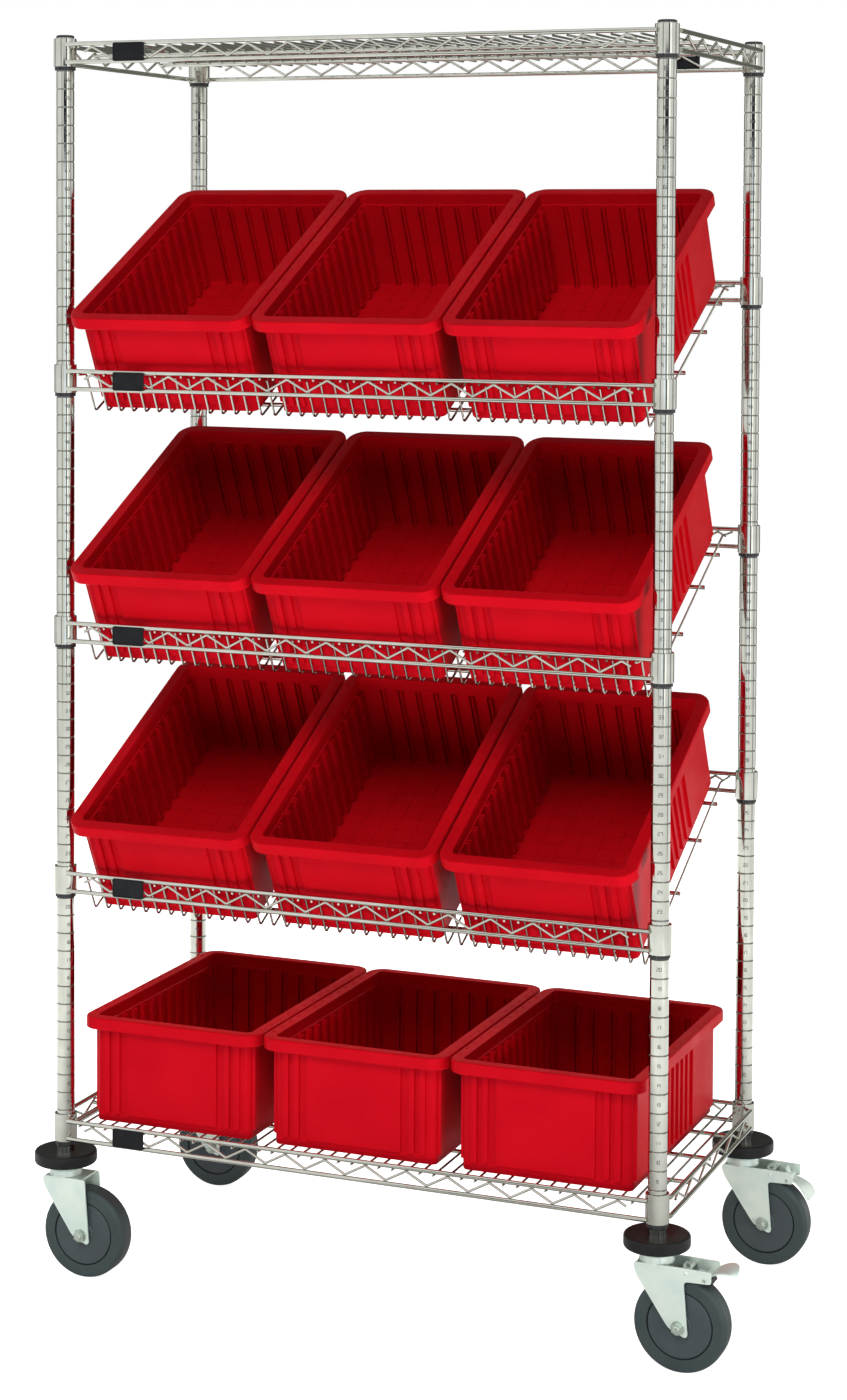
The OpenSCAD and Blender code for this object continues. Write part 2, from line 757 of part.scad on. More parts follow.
// angle between the pedal and the middle of the shoe
shoe_lag = 80;
shoe_w = 24;
shoe_t = 8;

module shoe(angle) {
  color("black") translate([pivot_x, 0, pivot_z]) rotate([0, -angle + shoe_lag, 0]) intersection() {
    translate([barrel_d / 2 + slack, -shoe_w / 2, -shoe_t / 2]) cube([shoe_r, shoe_w, shoe_t]);
    bar_y(-shoe_w, shoe_w, 2 * shoe_r);
  }
}

front_left = corners[0];
front_right = corners[1];
rear_right = corners[2];
rear_left = corners[3];

placed() {
  post(front_left);  // post_front_left
  post(front_right);  // post_front_right
  post(rear_right);  // post_rear_right
  post(rear_left);  // post_rear_left
  post_caps();
  split_sleeves();
  flat_trusses(top_z);  // top_trusses
  flat_sides(top_z);  // top_sides
  flat_deck(top_z);  // top_deck
  flat_trusses(bottom_z);  // bottom_trusses
  flat_sides(bottom_z);  // bottom_sides
  flat_deck(bottom_z);  // bottom_deck
  slope_front(0);  // lower_front
  slope_rear(0);  // lower_rear
  slope_mat(0);  // lower_mat
  slope_lip(0);  // lower_lip
  slope_front(1);  // middle_front
  slope_rear(1);  // middle_rear
  slope_mat(1);  // middle_mat
  slope_lip(1);  // middle_lip
  slope_front(2);  // upper_front
  slope_rear(2);  // upper_rear
  slope_mat(2);  // upper_mat
  slope_lip(2);  // upper_lip
  label_plates();
  bottom_bin(0);  // bin_bottom_left
  bottom_bin(1);  // bin_bottom_mid
  bottom_bin(2);  // bin_bottom_right
  slope_bin(0, 0);  // bin_lower_left
  slope_bin(0, 1);  // bin_lower_mid
  slope_bin(0, 2);  // bin_lower_right
  slope_bin(1, 0);  // bin_middle_left
  slope_bin(1, 1);  // bin_middle_mid
  slope_bin(1, 2);  // bin_middle_right
  slope_bin(2, 0);  // bin_upper_left
  slope_bin(2, 1);  // bin_upper_mid
  slope_bin(2, 2);  // bin_upper_right
  bumpers();
  caster_stems();
  at_corner(front_left) fork(false);  // fork_fl
  at_corner(front_right) fork(true);  // fork_fr
  at_corner(rear_right) fork(true);  // fork_rr
  at_corner(rear_left) fork(false);  // fork_rl
  at_corner(front_left) axle(false);  // axle_fl
  at_corner(front_right) axle(true);  // axle_fr
  at_corner(rear_right) axle(true);  // axle_rr
  at_corner(rear_left) axle(false);  // axle_rl
  at_corner(front_left) hub();  // hub_fl
  at_corner(front_right) hub();  // hub_fr
  at_corner(rear_right) hub();  // hub_rr
  at_corner(rear_left) hub();  // hub_rl
  at_corner(front_left) tyre();  // tyre_fl
  at_corner(front_right) tyre();  // tyre_fr
  at_corner(rear_right) tyre();  // tyre_rr
  at_corner(rear_left) tyre();  // tyre_rl
  at_corner(front_right) pedal(pedal_up);  // pedal_fr
  at_corner(rear_right) pedal(pedal_up - pedal_swing);  // pedal_rr
  at_corner(front_right) shoe(pedal_up);  // shoe_fr
  at_corner(rear_right) shoe(pedal_up - pedal_swing);  // shoe_rr
}
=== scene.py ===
import json
import math

import bmesh
import bpy
from mathutils import Matrix, Vector


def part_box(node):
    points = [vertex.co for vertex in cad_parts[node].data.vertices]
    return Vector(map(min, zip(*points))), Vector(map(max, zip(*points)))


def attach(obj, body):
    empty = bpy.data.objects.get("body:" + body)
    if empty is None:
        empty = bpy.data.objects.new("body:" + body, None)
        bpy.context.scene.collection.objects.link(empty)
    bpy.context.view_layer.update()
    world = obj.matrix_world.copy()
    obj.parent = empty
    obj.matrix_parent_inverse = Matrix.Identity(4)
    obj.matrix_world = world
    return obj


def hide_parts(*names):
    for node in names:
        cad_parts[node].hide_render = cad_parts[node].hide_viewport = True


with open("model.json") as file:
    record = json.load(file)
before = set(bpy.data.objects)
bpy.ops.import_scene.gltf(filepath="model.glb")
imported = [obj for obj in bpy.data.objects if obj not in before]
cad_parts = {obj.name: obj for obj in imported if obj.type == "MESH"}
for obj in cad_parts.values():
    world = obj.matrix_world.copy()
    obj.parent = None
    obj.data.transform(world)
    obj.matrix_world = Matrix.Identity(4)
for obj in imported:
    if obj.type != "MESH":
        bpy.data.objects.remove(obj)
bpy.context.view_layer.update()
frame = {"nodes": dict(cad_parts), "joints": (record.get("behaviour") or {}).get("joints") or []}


# Posts
# Four steel tubes, roll-grooved every inch so that a shelf can sit at any inch, and bright chrome plated.
# Each is turned here from one profile with all its grooves.
mm = 0.001
CORNERS = ("front_left", "front_right", "rear_right", "rear_left")
GROOVE_PITCH = 25.4 * mm
GROOVE_DEPTH = 0.75 * mm
GROOVE_HALF = 1.2 * mm
GROOVE_FLOOR = 0.5 * mm
POST_WALL = 1.6 * mm
CHROME_BRIGHT = (0.61, 0.62, 0.56, 1)
CHROME_DULL = (0.53, 0.54, 0.48, 1)
CHROME_SHADE = (0.20, 0.20, 0.19, 1)
SMOOTH_LIMIT = math.radians(38)
PATCH_DETAIL = 4
PATCH_SPREAD = (0.35, 0.65)
GRAIN_DETAIL = 2
AXIS_REACH = 1e-7
WHITE = (1, 1, 1, 1)
X_AXIS = Vector((1, 0, 0))
Y_AXIS = Vector((0, 1, 0))
UP = Vector((0, 0, 1))

post_box = {corner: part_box("post_" + corner) for corner in CORNERS}
post_axis = {corner: (low + high) / 2 for corner, (low, high) in post_box.items()}
POST_R = (post_box["front_left"][1].x - post_box["front_left"][0].x) / 2
GROOVE_BAND = (POST_R - 0.7 * POST_WALL, POST_R - 0.8 * GROOVE_DEPTH)


def post_point(corner, z=0.0):
    """The point of a post's axis at a height."""
    return Vector((post_axis[corner].x, post_axis[corner].y, z))


def eased(across, z, corners, inward, upward):
    """Points round an eased edge, from offsets in millimetres inwards and along the height."""
    return [(across + inward * a * mm, z + upward * b * mm) for a, b in corners]


def uneven_finish():
    """A node group that varies a colour, a roughness and a fine relief over a surface."""
    tree = bpy.data.node_groups.new("uneven_finish", "ShaderNodeTree")
    for name, kind in (("Base", "Color"), ("Tone", "Color"), ("Smooth", "Float"), ("Rough", "Float"),
                       ("Patch Scale", "Float"), ("Grain Scale", "Float"), ("Grain Depth", "Float")):
        tree.interface.new_socket(name, in_out="INPUT", socket_type="NodeSocket" + kind)
    for name, kind in (("Color", "Color"), ("Roughness", "Float"), ("Normal", "Vector")):
        tree.interface.new_socket(name, in_out="OUTPUT", socket_type="NodeSocket" + kind)
    add, join = tree.nodes.new, tree.links.new
    given, made = add("NodeGroupInput"), add("NodeGroupOutput")
    place = add("ShaderNodeTexCoord")
    patch, grain = add("ShaderNodeTexNoise"), add("ShaderNodeTexNoise")
    patch.inputs["Detail"].default_value = PATCH_DETAIL
    grain.inputs["Detail"].default_value = GRAIN_DETAIL
    for noise, scale in ((patch, "Patch Scale"), (grain, "Grain Scale")):
        join(place.outputs["Object"], noise.inputs["Vector"])
        join(given.outputs[scale], noise.inputs["Scale"])
    spread = add("ShaderNodeMapRange")
    spread.inputs["From Min"].default_value, spread.inputs["From Max"].default_value = PATCH_SPREAD
    join(patch.outputs["Fac"], spread.inputs["Value"])
    colour = add("ShaderNodeMix")
    colour.data_type = "RGBA"
    join(spread.outputs["Result"], colour.inputs["Factor"])
    join(given.outputs["Base"], colour.inputs["A"])
    join(given.outputs["Tone"], colour.inputs["B"])
    rough = add("ShaderNodeMapRange")
    join(spread.outputs["Result"], rough.inputs["Value"])
    join(given.outputs["Smooth"], rough.inputs["To Min"])
    join(given.outputs["Rough"], rough.inputs["To Max"])
    relief = add("ShaderNodeBump")
    join(grain.outputs["Fac"], relief.inputs["Height"])
    join(given.outputs["Grain Depth"], relief.inputs["Distance"])
    join(colour.outputs["Result"], made.inputs["Color"])
    join(rough.outputs["Result"], made.inputs["Roughness"])
    join(relief.outputs["Normal"], made.inputs["Normal"])
    return tree


UNEVEN_FINISH = uneven_finish()


def finish(name, colours, rough, patch, grain, relief, metallic=0.0, specular=0.5, sheen=WHITE):
    """A material between two colours and two roughnesses, with patches and a fine grain."""
    material = bpy.data.materials.new(name)
    material.use_nodes = True
    tree = material.node_tree
    shader = tree.nodes["Principled BSDF"]
    shader.inputs["Metallic"].default_value = metallic
    shader.inputs["Specular IOR Level"].default_value = specular
    shader.inputs["Specular Tint"].default_value = sheen
    uneven = tree.nodes.new("ShaderNodeGroup")
    uneven.node_tree = UNEVEN_FINISH
    for socket, value in zip(("Base", "Tone", "Smooth", "Rough", "Patch Scale", "Grain Scale", "Grain Depth"),
                             (*colours, *rough, patch, grain, relief)):
        uneven.inputs[socket].default_value = value
    tree.links.new(uneven.outputs["Color"], shader.inputs["Base Color"])
    tree.links.new(uneven.outputs["Roughness"], shader.inputs["Roughness"])
    tree.links.new(uneven.outputs["Normal"], shader.inputs["Normal"])
    return material


chrome = finish("chrome_plate", (CHROME_BRIGHT, CHROME_DULL), rough=(0.05, 0.10), patch=35, grain=160,
                relief=0.004 * mm, metallic=1.0)
groove_shade = finish("groove_shade", (CHROME_SHADE, CHROME_SHADE), rough=(0.30, 0.45), patch=35, grain=160,
                      relief=0.004 * mm, metallic=1.0)


def turned(bm, profile, centre, steps=40, axis=UP, start=X_AXIS):
    """Turns a profile of (radius, height) points round an axis through centre."""
    points = [bm.verts.new(centre + start * r + axis * h) for r, h in profile]
    edges = [bm.edges.new(pair) for pair in zip(points, points[1:])]
    bmesh.ops.spin(bm, geom=points + edges, cent=centre, axis=axis, angle=2 * math.pi, steps=steps,
                   use_merge=True)
    on_axis = [v for v in bm.verts if ((v.co - centre) - (v.co - centre).project(axis)).length < AXIS_REACH]
    bmesh.ops.remove_doubles(bm, verts=on_axis, dist=AXIS_REACH)


def placed(name, bm, material):
    """Makes a mesh a named object of the scene."""
    mesh = bpy.data.meshes.new(name)
    bm.to_mesh(mesh)
    bm.free()
    mesh.materials.append(material)
    made = bpy.data.objects.new(name, mesh)
    bpy.context.scene.collection.objects.link(made)
    return made


def piece(name, bm, material, body, slot, *nodes):
    """Makes a mesh a named object that rides on a body and stands for CAD nodes."""
    bmesh.ops.recalc_face_normals(bm, faces=bm.faces)
    made = placed(name, bm, material)
    made.data.shade_smooth()
    made.data.set_sharp_from_angle(angle=SMOOTH_LIMIT)
    flatten = made.modifiers.new("flat_faces", "WEIGHTED_NORMAL")
    flatten.keep_sharp = True
    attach(made, body)
    if nodes:
        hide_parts(*nodes)
    return made


BOTTOM_COLLAR_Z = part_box("bottom_trusses")[0].z
COLLAR_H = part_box("lower_front")[1].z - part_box("lower_front")[0].z
FIRST_GROOVE = (BOTTOM_COLLAR_Z + COLLAR_H / 2) % GROOVE_PITCH
for corner in CORNERS:
    low, high = post_box[corner]
    profile = [(POST_R - POST_WALL, low.z), (POST_R, low.z)]
    groove = FIRST_GROOVE
    while groove < high.z - GROOVE_HALF:
        if groove > low.z + GROOVE_HALF:
            profile += [(POST_R, groove - GROOVE_HALF), (POST_R - GROOVE_DEPTH, groove - GROOVE_FLOOR),
                        (POST_R - GROOVE_DEPTH, groove + GROOVE_FLOOR), (POST_R, groove + GROOVE_HALF)]
        groove += GROOVE_PITCH
    profile += [(POST_R, high.z), (POST_R - POST_WALL, high.z), (POST_R - POST_WALL, low.z)]
    bm = bmesh.new()
    turned(bm, profile, post_point(corner))
    # The groove floors take a dark, dull chrome: painted shade in the grooves.
    for face in bm.faces:
        radius = (face.calc_center_median() - post_point(corner)).to_2d().length
        if GROOVE_BAND[0] < radius < GROOVE_BAND[1]:
            face.material_index = 1
    tube = piece("post_tube_" + corner, bm, chrome, "frame", "chrome", "post_" + corner)
    tube.data.materials.append(groove_shade)


# Post numerals
# A small number is stamped between each two grooves, so that shelves can be set level; its strokes are
# laid out like those of a seven-segment display. The count starts at the first groove line above the
# floor, so the first five numbers of a post lie below its end.
DIGIT_H = 4.6 * mm
DIGIT_W = 2.4 * mm
DIGIT_STEP = 3.6 * mm
STROKE = 0.8 * mm
STAMP_T = 0.12 * mm
FIRST_STAMP = 1.5 * GROOVE_PITCH
STAMP_FACES = {"front_left": 43, "front_right": 15, "rear_right": 15, "rear_left": 15}
DIGIT_STROKES = ("abcdef", "bc", "abged", "abgcd", "fgbc", "afgcd", "afgedc", "abc", "abcdefg", "abcdfg")
STROKE_PLACES = {"a": (0, 1, True), "b": (1, 0.5, False), "c": (1, -0.5, False), "d": (0, -1, True),
                 "e": (-1, -0.5, False), "f": (-1, 0.5, False), "g": (0, 0, True)}
STAMP_GREY = (0.045, 0.047, 0.052, 1)
stamped = finish("stamped_steel", (STAMP_GREY, CHROME_SHADE), rough=(0.35, 0.55), patch=300, grain=900,
                 relief=0.01 * mm, metallic=0.4)


def numeral(bm, corner, digits, height):
    """The strokes of one number on a post, centred at a height."""
    for place, digit in enumerate(digits):
        middle = (place - (len(digits) - 1) / 2) * DIGIT_STEP
        for stroke in DIGIT_STROKES[int(digit)]:
            across, up, flat = STROKE_PLACES[stroke]
            turn = math.radians(STAMP_FACES[corner]) + (middle + across * DIGIT_W / 2) / POST_R
            size = (DIGIT_W, STAMP_T, STROKE) if flat else (STROKE, STAMP_T, DIGIT_H / 2)
            stand = Matrix.Translation(post_point(corner, height + up * DIGIT_H / 2))
            bmesh.ops.create_cube(bm, size=1, matrix=stand @ Matrix.Rotation(turn, 4, "Z")
                                  @ Matrix.Translation((0, -POST_R, 0)) @ Matrix.Diagonal((*size, 1)))


for corner in CORNERS:
    bm = bmesh.new()
    height = FIRST_GROOVE + FIRST_STAMP
    count = 1
    while height < post_box[corner][1].z - GROOVE_PITCH / 2:
        numeral(bm, corner, str(count), height)
        height += GROOVE_PITCH
        count += 1
    piece("post_numerals_" + corner, bm, stamped, "frame", "chrome")


# Post caps
# Moulded black plugs with a shallow dome, pressed into the upper ends of the posts.
CAP_H = 4.0 * mm
CAP_EDGE = ((0.0, 2.24), (0.56, 0.98), (2.1, 0.28))
BLACK = (0.010, 0.011, 0.013, 1)
BLACK_WORN = (0.018, 0.019, 0.021, 1)
black_plastic = finish("black_plastic", (BLACK, BLACK_WORN), rough=(0.32, 0.46), patch=60, grain=1400,
                       relief=0.06 * mm)

bm = bmesh.new()
for corner in CORNERS:
    dome = eased(POST_R, CAP_H, CAP_EDGE, -1, -1)
    bore = POST_R - POST_WALL
    turned(bm, [(bore, -CAP_H), (bore, 0), (POST_R, 0), *dome, (POST_R / 2, CAP_H), (0, CAP_H)],
           post_point(corner, post_box[corner][1].z))
piece("post_end_caps", bm, black_plastic, "frame", "black_plastic", "post_caps")


# Split sleeves
# Tapered halves of black plastic that snap round a post with a bead in a groove; the shelf collar
# wedges down over them, and a black ring shows below each collar and a thin one above it.
SLEEVE_SHOW = 5.0 * mm
SLEEVE_LOW = 1.9 * mm
SLEEVE_TOP = 1.0 * mm
SLEEVE_SPLIT = 1.2 * mm
SLEEVE_EDGE = 0.5 * mm
SLEEVE_STEPS = 18
SLOPED = ("lower", "middle", "upper")


def drop_into(bm, part, matrix=Matrix()):
    """Copies a part into a mesh at its place."""
    mesh = bpy.data.meshes.new("part")
    bmesh.ops.transform(part, matrix=matrix, verts=part.verts)
    bmesh.ops.recalc_face_normals(part, faces=part.faces)
    part.to_mesh(mesh)
    part.free()
    bm.from_mesh(mesh)
    bpy.data.meshes.remove(mesh)


def verts_of(geom):
    return [g for g in geom if isinstance(g, bmesh.types.BMVert)]


def collar_heights(corner):
    """Heights of the collar bottoms on one post, from the bottom shelf to the top shelf."""
    side = "front" if corner.startswith("front") else "rear"
    sloped = [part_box(level + "_" + side)[0].z for level in SLOPED]
    return [BOTTOM_COLLAR_Z, *sloped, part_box("top_trusses")[0].z]


bm = bmesh.new()
for corner in CORNERS:
    for z in collar_heights(corner):
        seat = post_point(corner, z)
        half = bmesh.new()
        outline = [(POST_R, -SLEEVE_SHOW), (POST_R + SLEEVE_LOW - SLEEVE_EDGE, -SLEEVE_SHOW),
                   (POST_R + SLEEVE_LOW, SLEEVE_EDGE - SLEEVE_SHOW), (POST_R + SLEEVE_LOW, 0),
                   (POST_R + SLEEVE_TOP, COLLAR_H), (POST_R, COLLAR_H)]
        loop = [half.verts.new(seat + Vector((0, r, h))) for r, h in outline]
        shut = SLEEVE_SPLIT / (POST_R + SLEEVE_LOW)
        bmesh.ops.rotate(half, verts=loop, cent=seat, matrix=Matrix.Rotation(-shut / 2, 3, "Z"))
        end = half.faces.new(loop)
        bmesh.ops.spin(half, geom=[end, *end.edges, *loop], cent=seat, axis=UP, angle=-(math.pi - shut),
                       steps=SLEEVE_STEPS)
        other = bmesh.ops.duplicate(half, geom=half.verts[:] + half.edges[:] + half.faces[:])["geom"]
        bmesh.ops.rotate(half, verts=verts_of(other), cent=seat, matrix=Matrix.Rotation(math.pi, 3, "Z"))
        drop_into(bm, half)
piece("sleeve_halves", bm, black_plastic, "frame", "black_plastic", "split_sleeves")


# Shelf trusses
# Each shelf edge is two rods with a zigzag wire welded between them. The rods run outside the posts and
# are welded to the outer sides of the corner collars; all of it is bright chrome plated.
ROD_D = 6.3 * mm
ROD_DROP = 8.5 * mm
ROD_GAP = 25.0 * mm
ROD_OUT = 14.0 * mm
ROD_END = 9.9 * mm
ROD_SIDES = 14
SIDE_ROD_END = 11.8 * mm
ZIG_D = 3.6 * mm
ZIG_BEND = 4.0 * mm
ZIG_STUB = 12.0 * mm
ZIG_SIDES = 10
COLLAR_R = 16.0 * mm
COLLAR_WALL = 2.2 * mm
COLLAR_EDGE = ((0.8, 0.0), (0.24, 0.24), (0.0, 0.8))
WIRE_COUNT = 42
WIRE_MARGIN = 30.0 * mm
ZIG_WIRES = 3
FIRST_PEAK = 1
SIDE_PEAKS = 6
SIDE_MARGIN = 47.0 * mm
STRAIGHT = 1e-4
LEFT = post_axis["front_left"].x
RIGHT = post_axis["front_right"].x
FRONT = post_axis["front_left"].y
REAR = post_axis["rear_left"].y
TOP_COLLAR_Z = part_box("top_trusses")[0].z
WIRE_PITCH = (RIGHT - LEFT - 2 * WIRE_MARGIN) / (WIRE_COUNT - 1)


def edges_of(bm, verts):
    inside = set(verts)
    return list({e for v in verts for e in v.link_edges if e.other_vert(v) in inside})


def bent_wire(bm, corners, bend, d, sides=8, bend_steps=5):
    """A wire of diameter d through the corners: runs are extruded, and elbows spun about their centres."""
    ahead = (corners[1] - corners[0]).normalized()
    stand = Matrix.Translation(corners[0]) @ ahead.to_track_quat("Z", "Y").to_matrix().to_4x4()
    ring = bmesh.ops.create_circle(bm, segments=sides, radius=d / 2, matrix=stand, cap_ends=True)["verts"]
    here = corners[0]
    for k in range(1, len(corners)):
        ahead = (corners[k] - corners[k - 1]).normalized()
        after = (corners[k + 1] - corners[k]).normalized() if k + 1 < len(corners) else ahead
        angle = ahead.angle(after)
        end = corners[k] - ahead * bend * math.tan(angle / 2)
        grown = bmesh.ops.extrude_edge_only(bm, edges=edges_of(bm, ring))
        ring = verts_of(grown["geom"])
        bmesh.ops.translate(bm, verts=ring, vec=end - here)
        here = end
        if angle > STRAIGHT:
            axis = ahead.cross(after).normalized()
            centre = here + axis.cross(ahead) * bend
            elbow = bmesh.ops.spin(bm, geom=ring + edges_of(bm, ring), cent=centre, axis=axis, angle=angle,
                                   steps=bend_steps)
            ring = verts_of(elbow["geom_last"])
            here = centre + Matrix.Rotation(angle, 3, axis) @ (here - centre)
    bmesh.ops.contextual_create(bm, geom=edges_of(bm, ring))


def zigzag(bm, middle, along, first, half_pitch, peaks):
    """A zigzag wire about a middle line between two rods, with a free stub at each end."""
    tall = ROD_GAP - ROD_D - ZIG_D
    inner = tall - 2 * ZIG_BEND
    lean = math.atan2(inner, half_pitch) + math.asin(2 * ZIG_BEND / math.hypot(half_pitch, inner))
    vertex = inner / 2 + ZIG_BEND / math.cos(lean)
    stub = vertex - ZIG_STUB * math.tan(lean)
    waves = 2 * peaks - 2
    path = [(first - ZIG_STUB, stub)]
    path += [(first + k * half_pitch, vertex if k % 2 == 0 else -vertex) for k in range(waves + 1)]
    path += [(first + waves * half_pitch + ZIG_STUB, stub)]
    bent_wire(bm, [middle + along * s + UP * h for s, h in path], ZIG_BEND, ZIG_D, sides=ZIG_SIDES)


def rods(bm, start, end, upper_z):
    """The upper and the lower rod of a shelf edge between two points of the plan."""
    for z in (upper_z, upper_z - ROD_GAP):
        bent_wire(bm, [Vector((*start, z)), Vector((*end, z))], 0, ROD_D, sides=ROD_SIDES)


def truss(bm, y, out, collar_z):
    """Front or rear edge of a shelf: two collars, two rods outside them and the zigzag between the rods."""
    inner = COLLAR_R - COLLAR_WALL
    foot = eased(COLLAR_R, 0, COLLAR_EDGE, -1, 1)
    head = eased(COLLAR_R, COLLAR_H, COLLAR_EDGE[::-1], -1, -1)
    for x in (LEFT, RIGHT):
        turned(bm, [(inner, 0), *foot, *head, (inner, COLLAR_H), (inner, 0)], Vector((x, y, collar_z)))
    rod_z = collar_z + COLLAR_H - ROD_DROP
    rods(bm, (LEFT + ROD_END, y + out), (RIGHT - ROD_END, y + out), rod_z)
    peaks = (WIRE_COUNT - 1 - 2 * FIRST_PEAK) // ZIG_WIRES + 1
    zigzag(bm, Vector((LEFT, y + out, rod_z - ROD_GAP / 2)), X_AXIS, WIRE_MARGIN + FIRST_PEAK * WIRE_PITCH,
           ZIG_WIRES * WIRE_PITCH / 2, peaks)


def side_truss(bm, x, collar_z):
    """Side edge of a flat shelf, welded to the collars' outer flanks."""
    rod_z = collar_z + COLLAR_H - ROD_DROP
    rods(bm, (x, FRONT + SIDE_ROD_END), (x, REAR - SIDE_ROD_END), rod_z)
    half_pitch = (REAR - FRONT - 2 * SIDE_MARGIN) / (2 * SIDE_PEAKS - 2)
    zigzag(bm, Vector((x, FRONT, rod_z - ROD_GAP / 2)), Y_AXIS, SIDE_MARGIN, half_pitch, SIDE_PEAKS)


for shelf, collar_z in (("top", TOP_COLLAR_Z), ("bottom", BOTTOM_COLLAR_Z)):
    bm = bmesh.new()
    truss(bm, FRONT, -ROD_OUT, collar_z)
    truss(bm, REAR, ROD_OUT, collar_z)
    piece(shelf + "_shelf_edges", bm, chrome, "frame", "chrome", shelf + "_trusses")
    bm = bmesh.new()
    side_truss(bm, LEFT - ROD_OUT, collar_z)
    side_truss(bm, RIGHT + ROD_OUT, collar_z)
    piece(shelf + "_shelf_ends", bm, chrome, "frame", "chrome", shelf + "_sides")
for level in SLOPED:
    for side, y, out in (("front", FRONT, -ROD_OUT), ("rear", REAR, ROD_OUT)):
        bm = bmesh.new()
        truss(bm, y, out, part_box(level + "_" + side)[0].z)
        piece(level + "_" + side + "_edge", bm, chrome, "frame", "chrome", level + "_" + side)


# Decks of the top and bottom shelf
# Straight wires from front to back, welded under the upper rods, on three cross rods. Where the zigzag
# has a peak the wire ends behind it; the outer wires end at the collars.
WIRE_D = 3.2 * mm
WIRE_BEND = 6.0 * mm
WIRE_BACK = 0.5 * mm
WIRE_OUT = ROD_OUT + ROD_D / 2 - WIRE_BACK
PEAK_WIRE_OUT = ROD_OUT - ZIG_D / 2
OUTER_WIRE_END = 13.7 * mm
CROSS_D = 6.0 * mm
CROSS_SIDES = 12
CROSS_SHARES = (0.25, 0.5, 0.75)


def row_of_wires(bm, wire_through):
    """Repeats a wire across the shelf; wire_through gives its corners for the overhang at its ends."""
    kinds = []
    for out in (PEAK_WIRE_OUT, WIRE_OUT):
        one = bmesh.new()
        bent_wire(one, wire_through(out), WIRE_BEND, WIRE_D)
        kinds.append(bpy.data.meshes.new("wire"))
        one.to_mesh(kinds[-1])
        one.free()
    for k in range(WIRE_COUNT):
        before = len(bm.verts)
        bm.from_mesh(kinds[0] if k % ZIG_WIRES == FIRST_PEAK else kinds[1])
        bm.verts.ensure_lookup_table()
        bmesh.ops.translate(bm, verts=bm.verts[before:], vec=Vector((k * WIRE_PITCH, 0, 0)))
    for mesh in kinds:
        bpy.data.meshes.remove(mesh)


def wire_height(collar_z):
    return collar_z + COLLAR_H - ROD_DROP - (ROD_D + WIRE_D) / 2


for shelf, collar_z in (("top", TOP_COLLAR_Z), ("bottom", BOTTOM_COLLAR_Z)):
    wire_z = wire_height(collar_z)
    left_wire = LEFT + WIRE_MARGIN
    bm = bmesh.new()
    row_of_wires(bm, lambda out: [Vector((left_wire, FRONT - out, wire_z)),
                                  Vector((left_wire, REAR + out, wire_z))])
    for x in (left_wire - WIRE_PITCH, left_wire + WIRE_COUNT * WIRE_PITCH):
        ends = (FRONT + OUTER_WIRE_END, REAR - OUTER_WIRE_END)
        bent_wire(bm, [Vector((x, y, wire_z)) for y in ends], 0, WIRE_D)
    reach = ROD_OUT - ZIG_D / 2
    for share in CROSS_SHARES:
        y = FRONT + share * (REAR - FRONT)
        z = wire_z - (WIRE_D + CROSS_D) / 2
        ends = (LEFT - reach, RIGHT + reach)
        bent_wire(bm, [Vector((x, y, z)) for x in ends], 0, CROSS_D, sides=CROSS_SIDES)
    piece(shelf + "_deck_wires", bm, chrome, "frame", "chrome", shelf + "_deck")


# Decks of the sloped shelves
# Each wire starts under the front rod, drops as the lip, turns square into the slope and ends level
# under the rear rod; four cross rods carry the wires from below.
LIP_H = 60.0 * mm
LIP_SET = 6.0 * mm
TAIL = 32.0 * mm
CROSS_PLACES = (0.1, 0.39, 0.68, 0.89)
joints = {joint["name"]: joint for joint in frame["joints"]}
LIFT = Vector(joints["bin_upper_mid_lift"]["axis"]).normalized()
ALONG = LIFT.cross(X_AXIS)
for level in SLOPED:
    wire_z = wire_height(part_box(level + "_front")[0].z)
    left_wire = LEFT + WIRE_MARGIN
    lip_top = Vector((left_wire, FRONT + LIP_SET, wire_z))
    hook = lip_top - LIFT * LIP_H
    slope_len = (REAR - TAIL - hook.y) / ALONG.y
    slope_end = hook + ALONG * slope_len
    bm = bmesh.new()
    row_of_wires(bm, lambda out: [Vector((left_wire, FRONT - out, wire_z)), lip_top, hook, slope_end,
                                  slope_end + Vector((0, TAIL + out, 0))])
    for share in CROSS_PLACES:
        centre = hook + ALONG * share * slope_len - LIFT * (WIRE_D + CROSS_D) / 2
        ends = (left_wire - CROSS_D, RIGHT - WIRE_MARGIN + CROSS_D)
        bent_wire(bm, [Vector((x, centre.y, centre.z)) for x in ends], 0, CROSS_D, sides=CROSS_SIDES)
    piece(level + "_deck_wires", bm, chrome, "frame", "chrome", level + "_mat", level + "_lip")


# Label plates
# Black moulded holders clipped on the trusses, with a raised frame round a bare panel.
PLATE_W = 48.0 * mm
PLATE_H = 26.0 * mm
PLATE_T = 2.6 * mm
PLATE_SET = 85.0 * mm
PLATE_R = 3.0 * mm
PLATE_BLACK = (0.006, 0.0065, 0.0075, 1)
PLATE_FRAME = 2.2 * mm
PLATE_RECESS = 0.6 * mm
PLATE_EDGE = 0.5 * mm


def rounded_face(bm, w, l, r, z=0.0, steps=6):
    """A flat rectangle with rounded corners about the Z axis."""
    made = bmesh.ops.create_grid(bm, x_segments=1, y_segments=1, size=0.5,
                                 matrix=Matrix.Translation((0, 0, z)) @ Matrix.Diagonal((w, l, 1, 1)))
    made = bmesh.ops.bevel(bm, geom=made["verts"], offset=r, affect="VERTICES", segments=steps, profile=0.5,
                           material=-1)
    return made["verts"][0].link_faces[0]


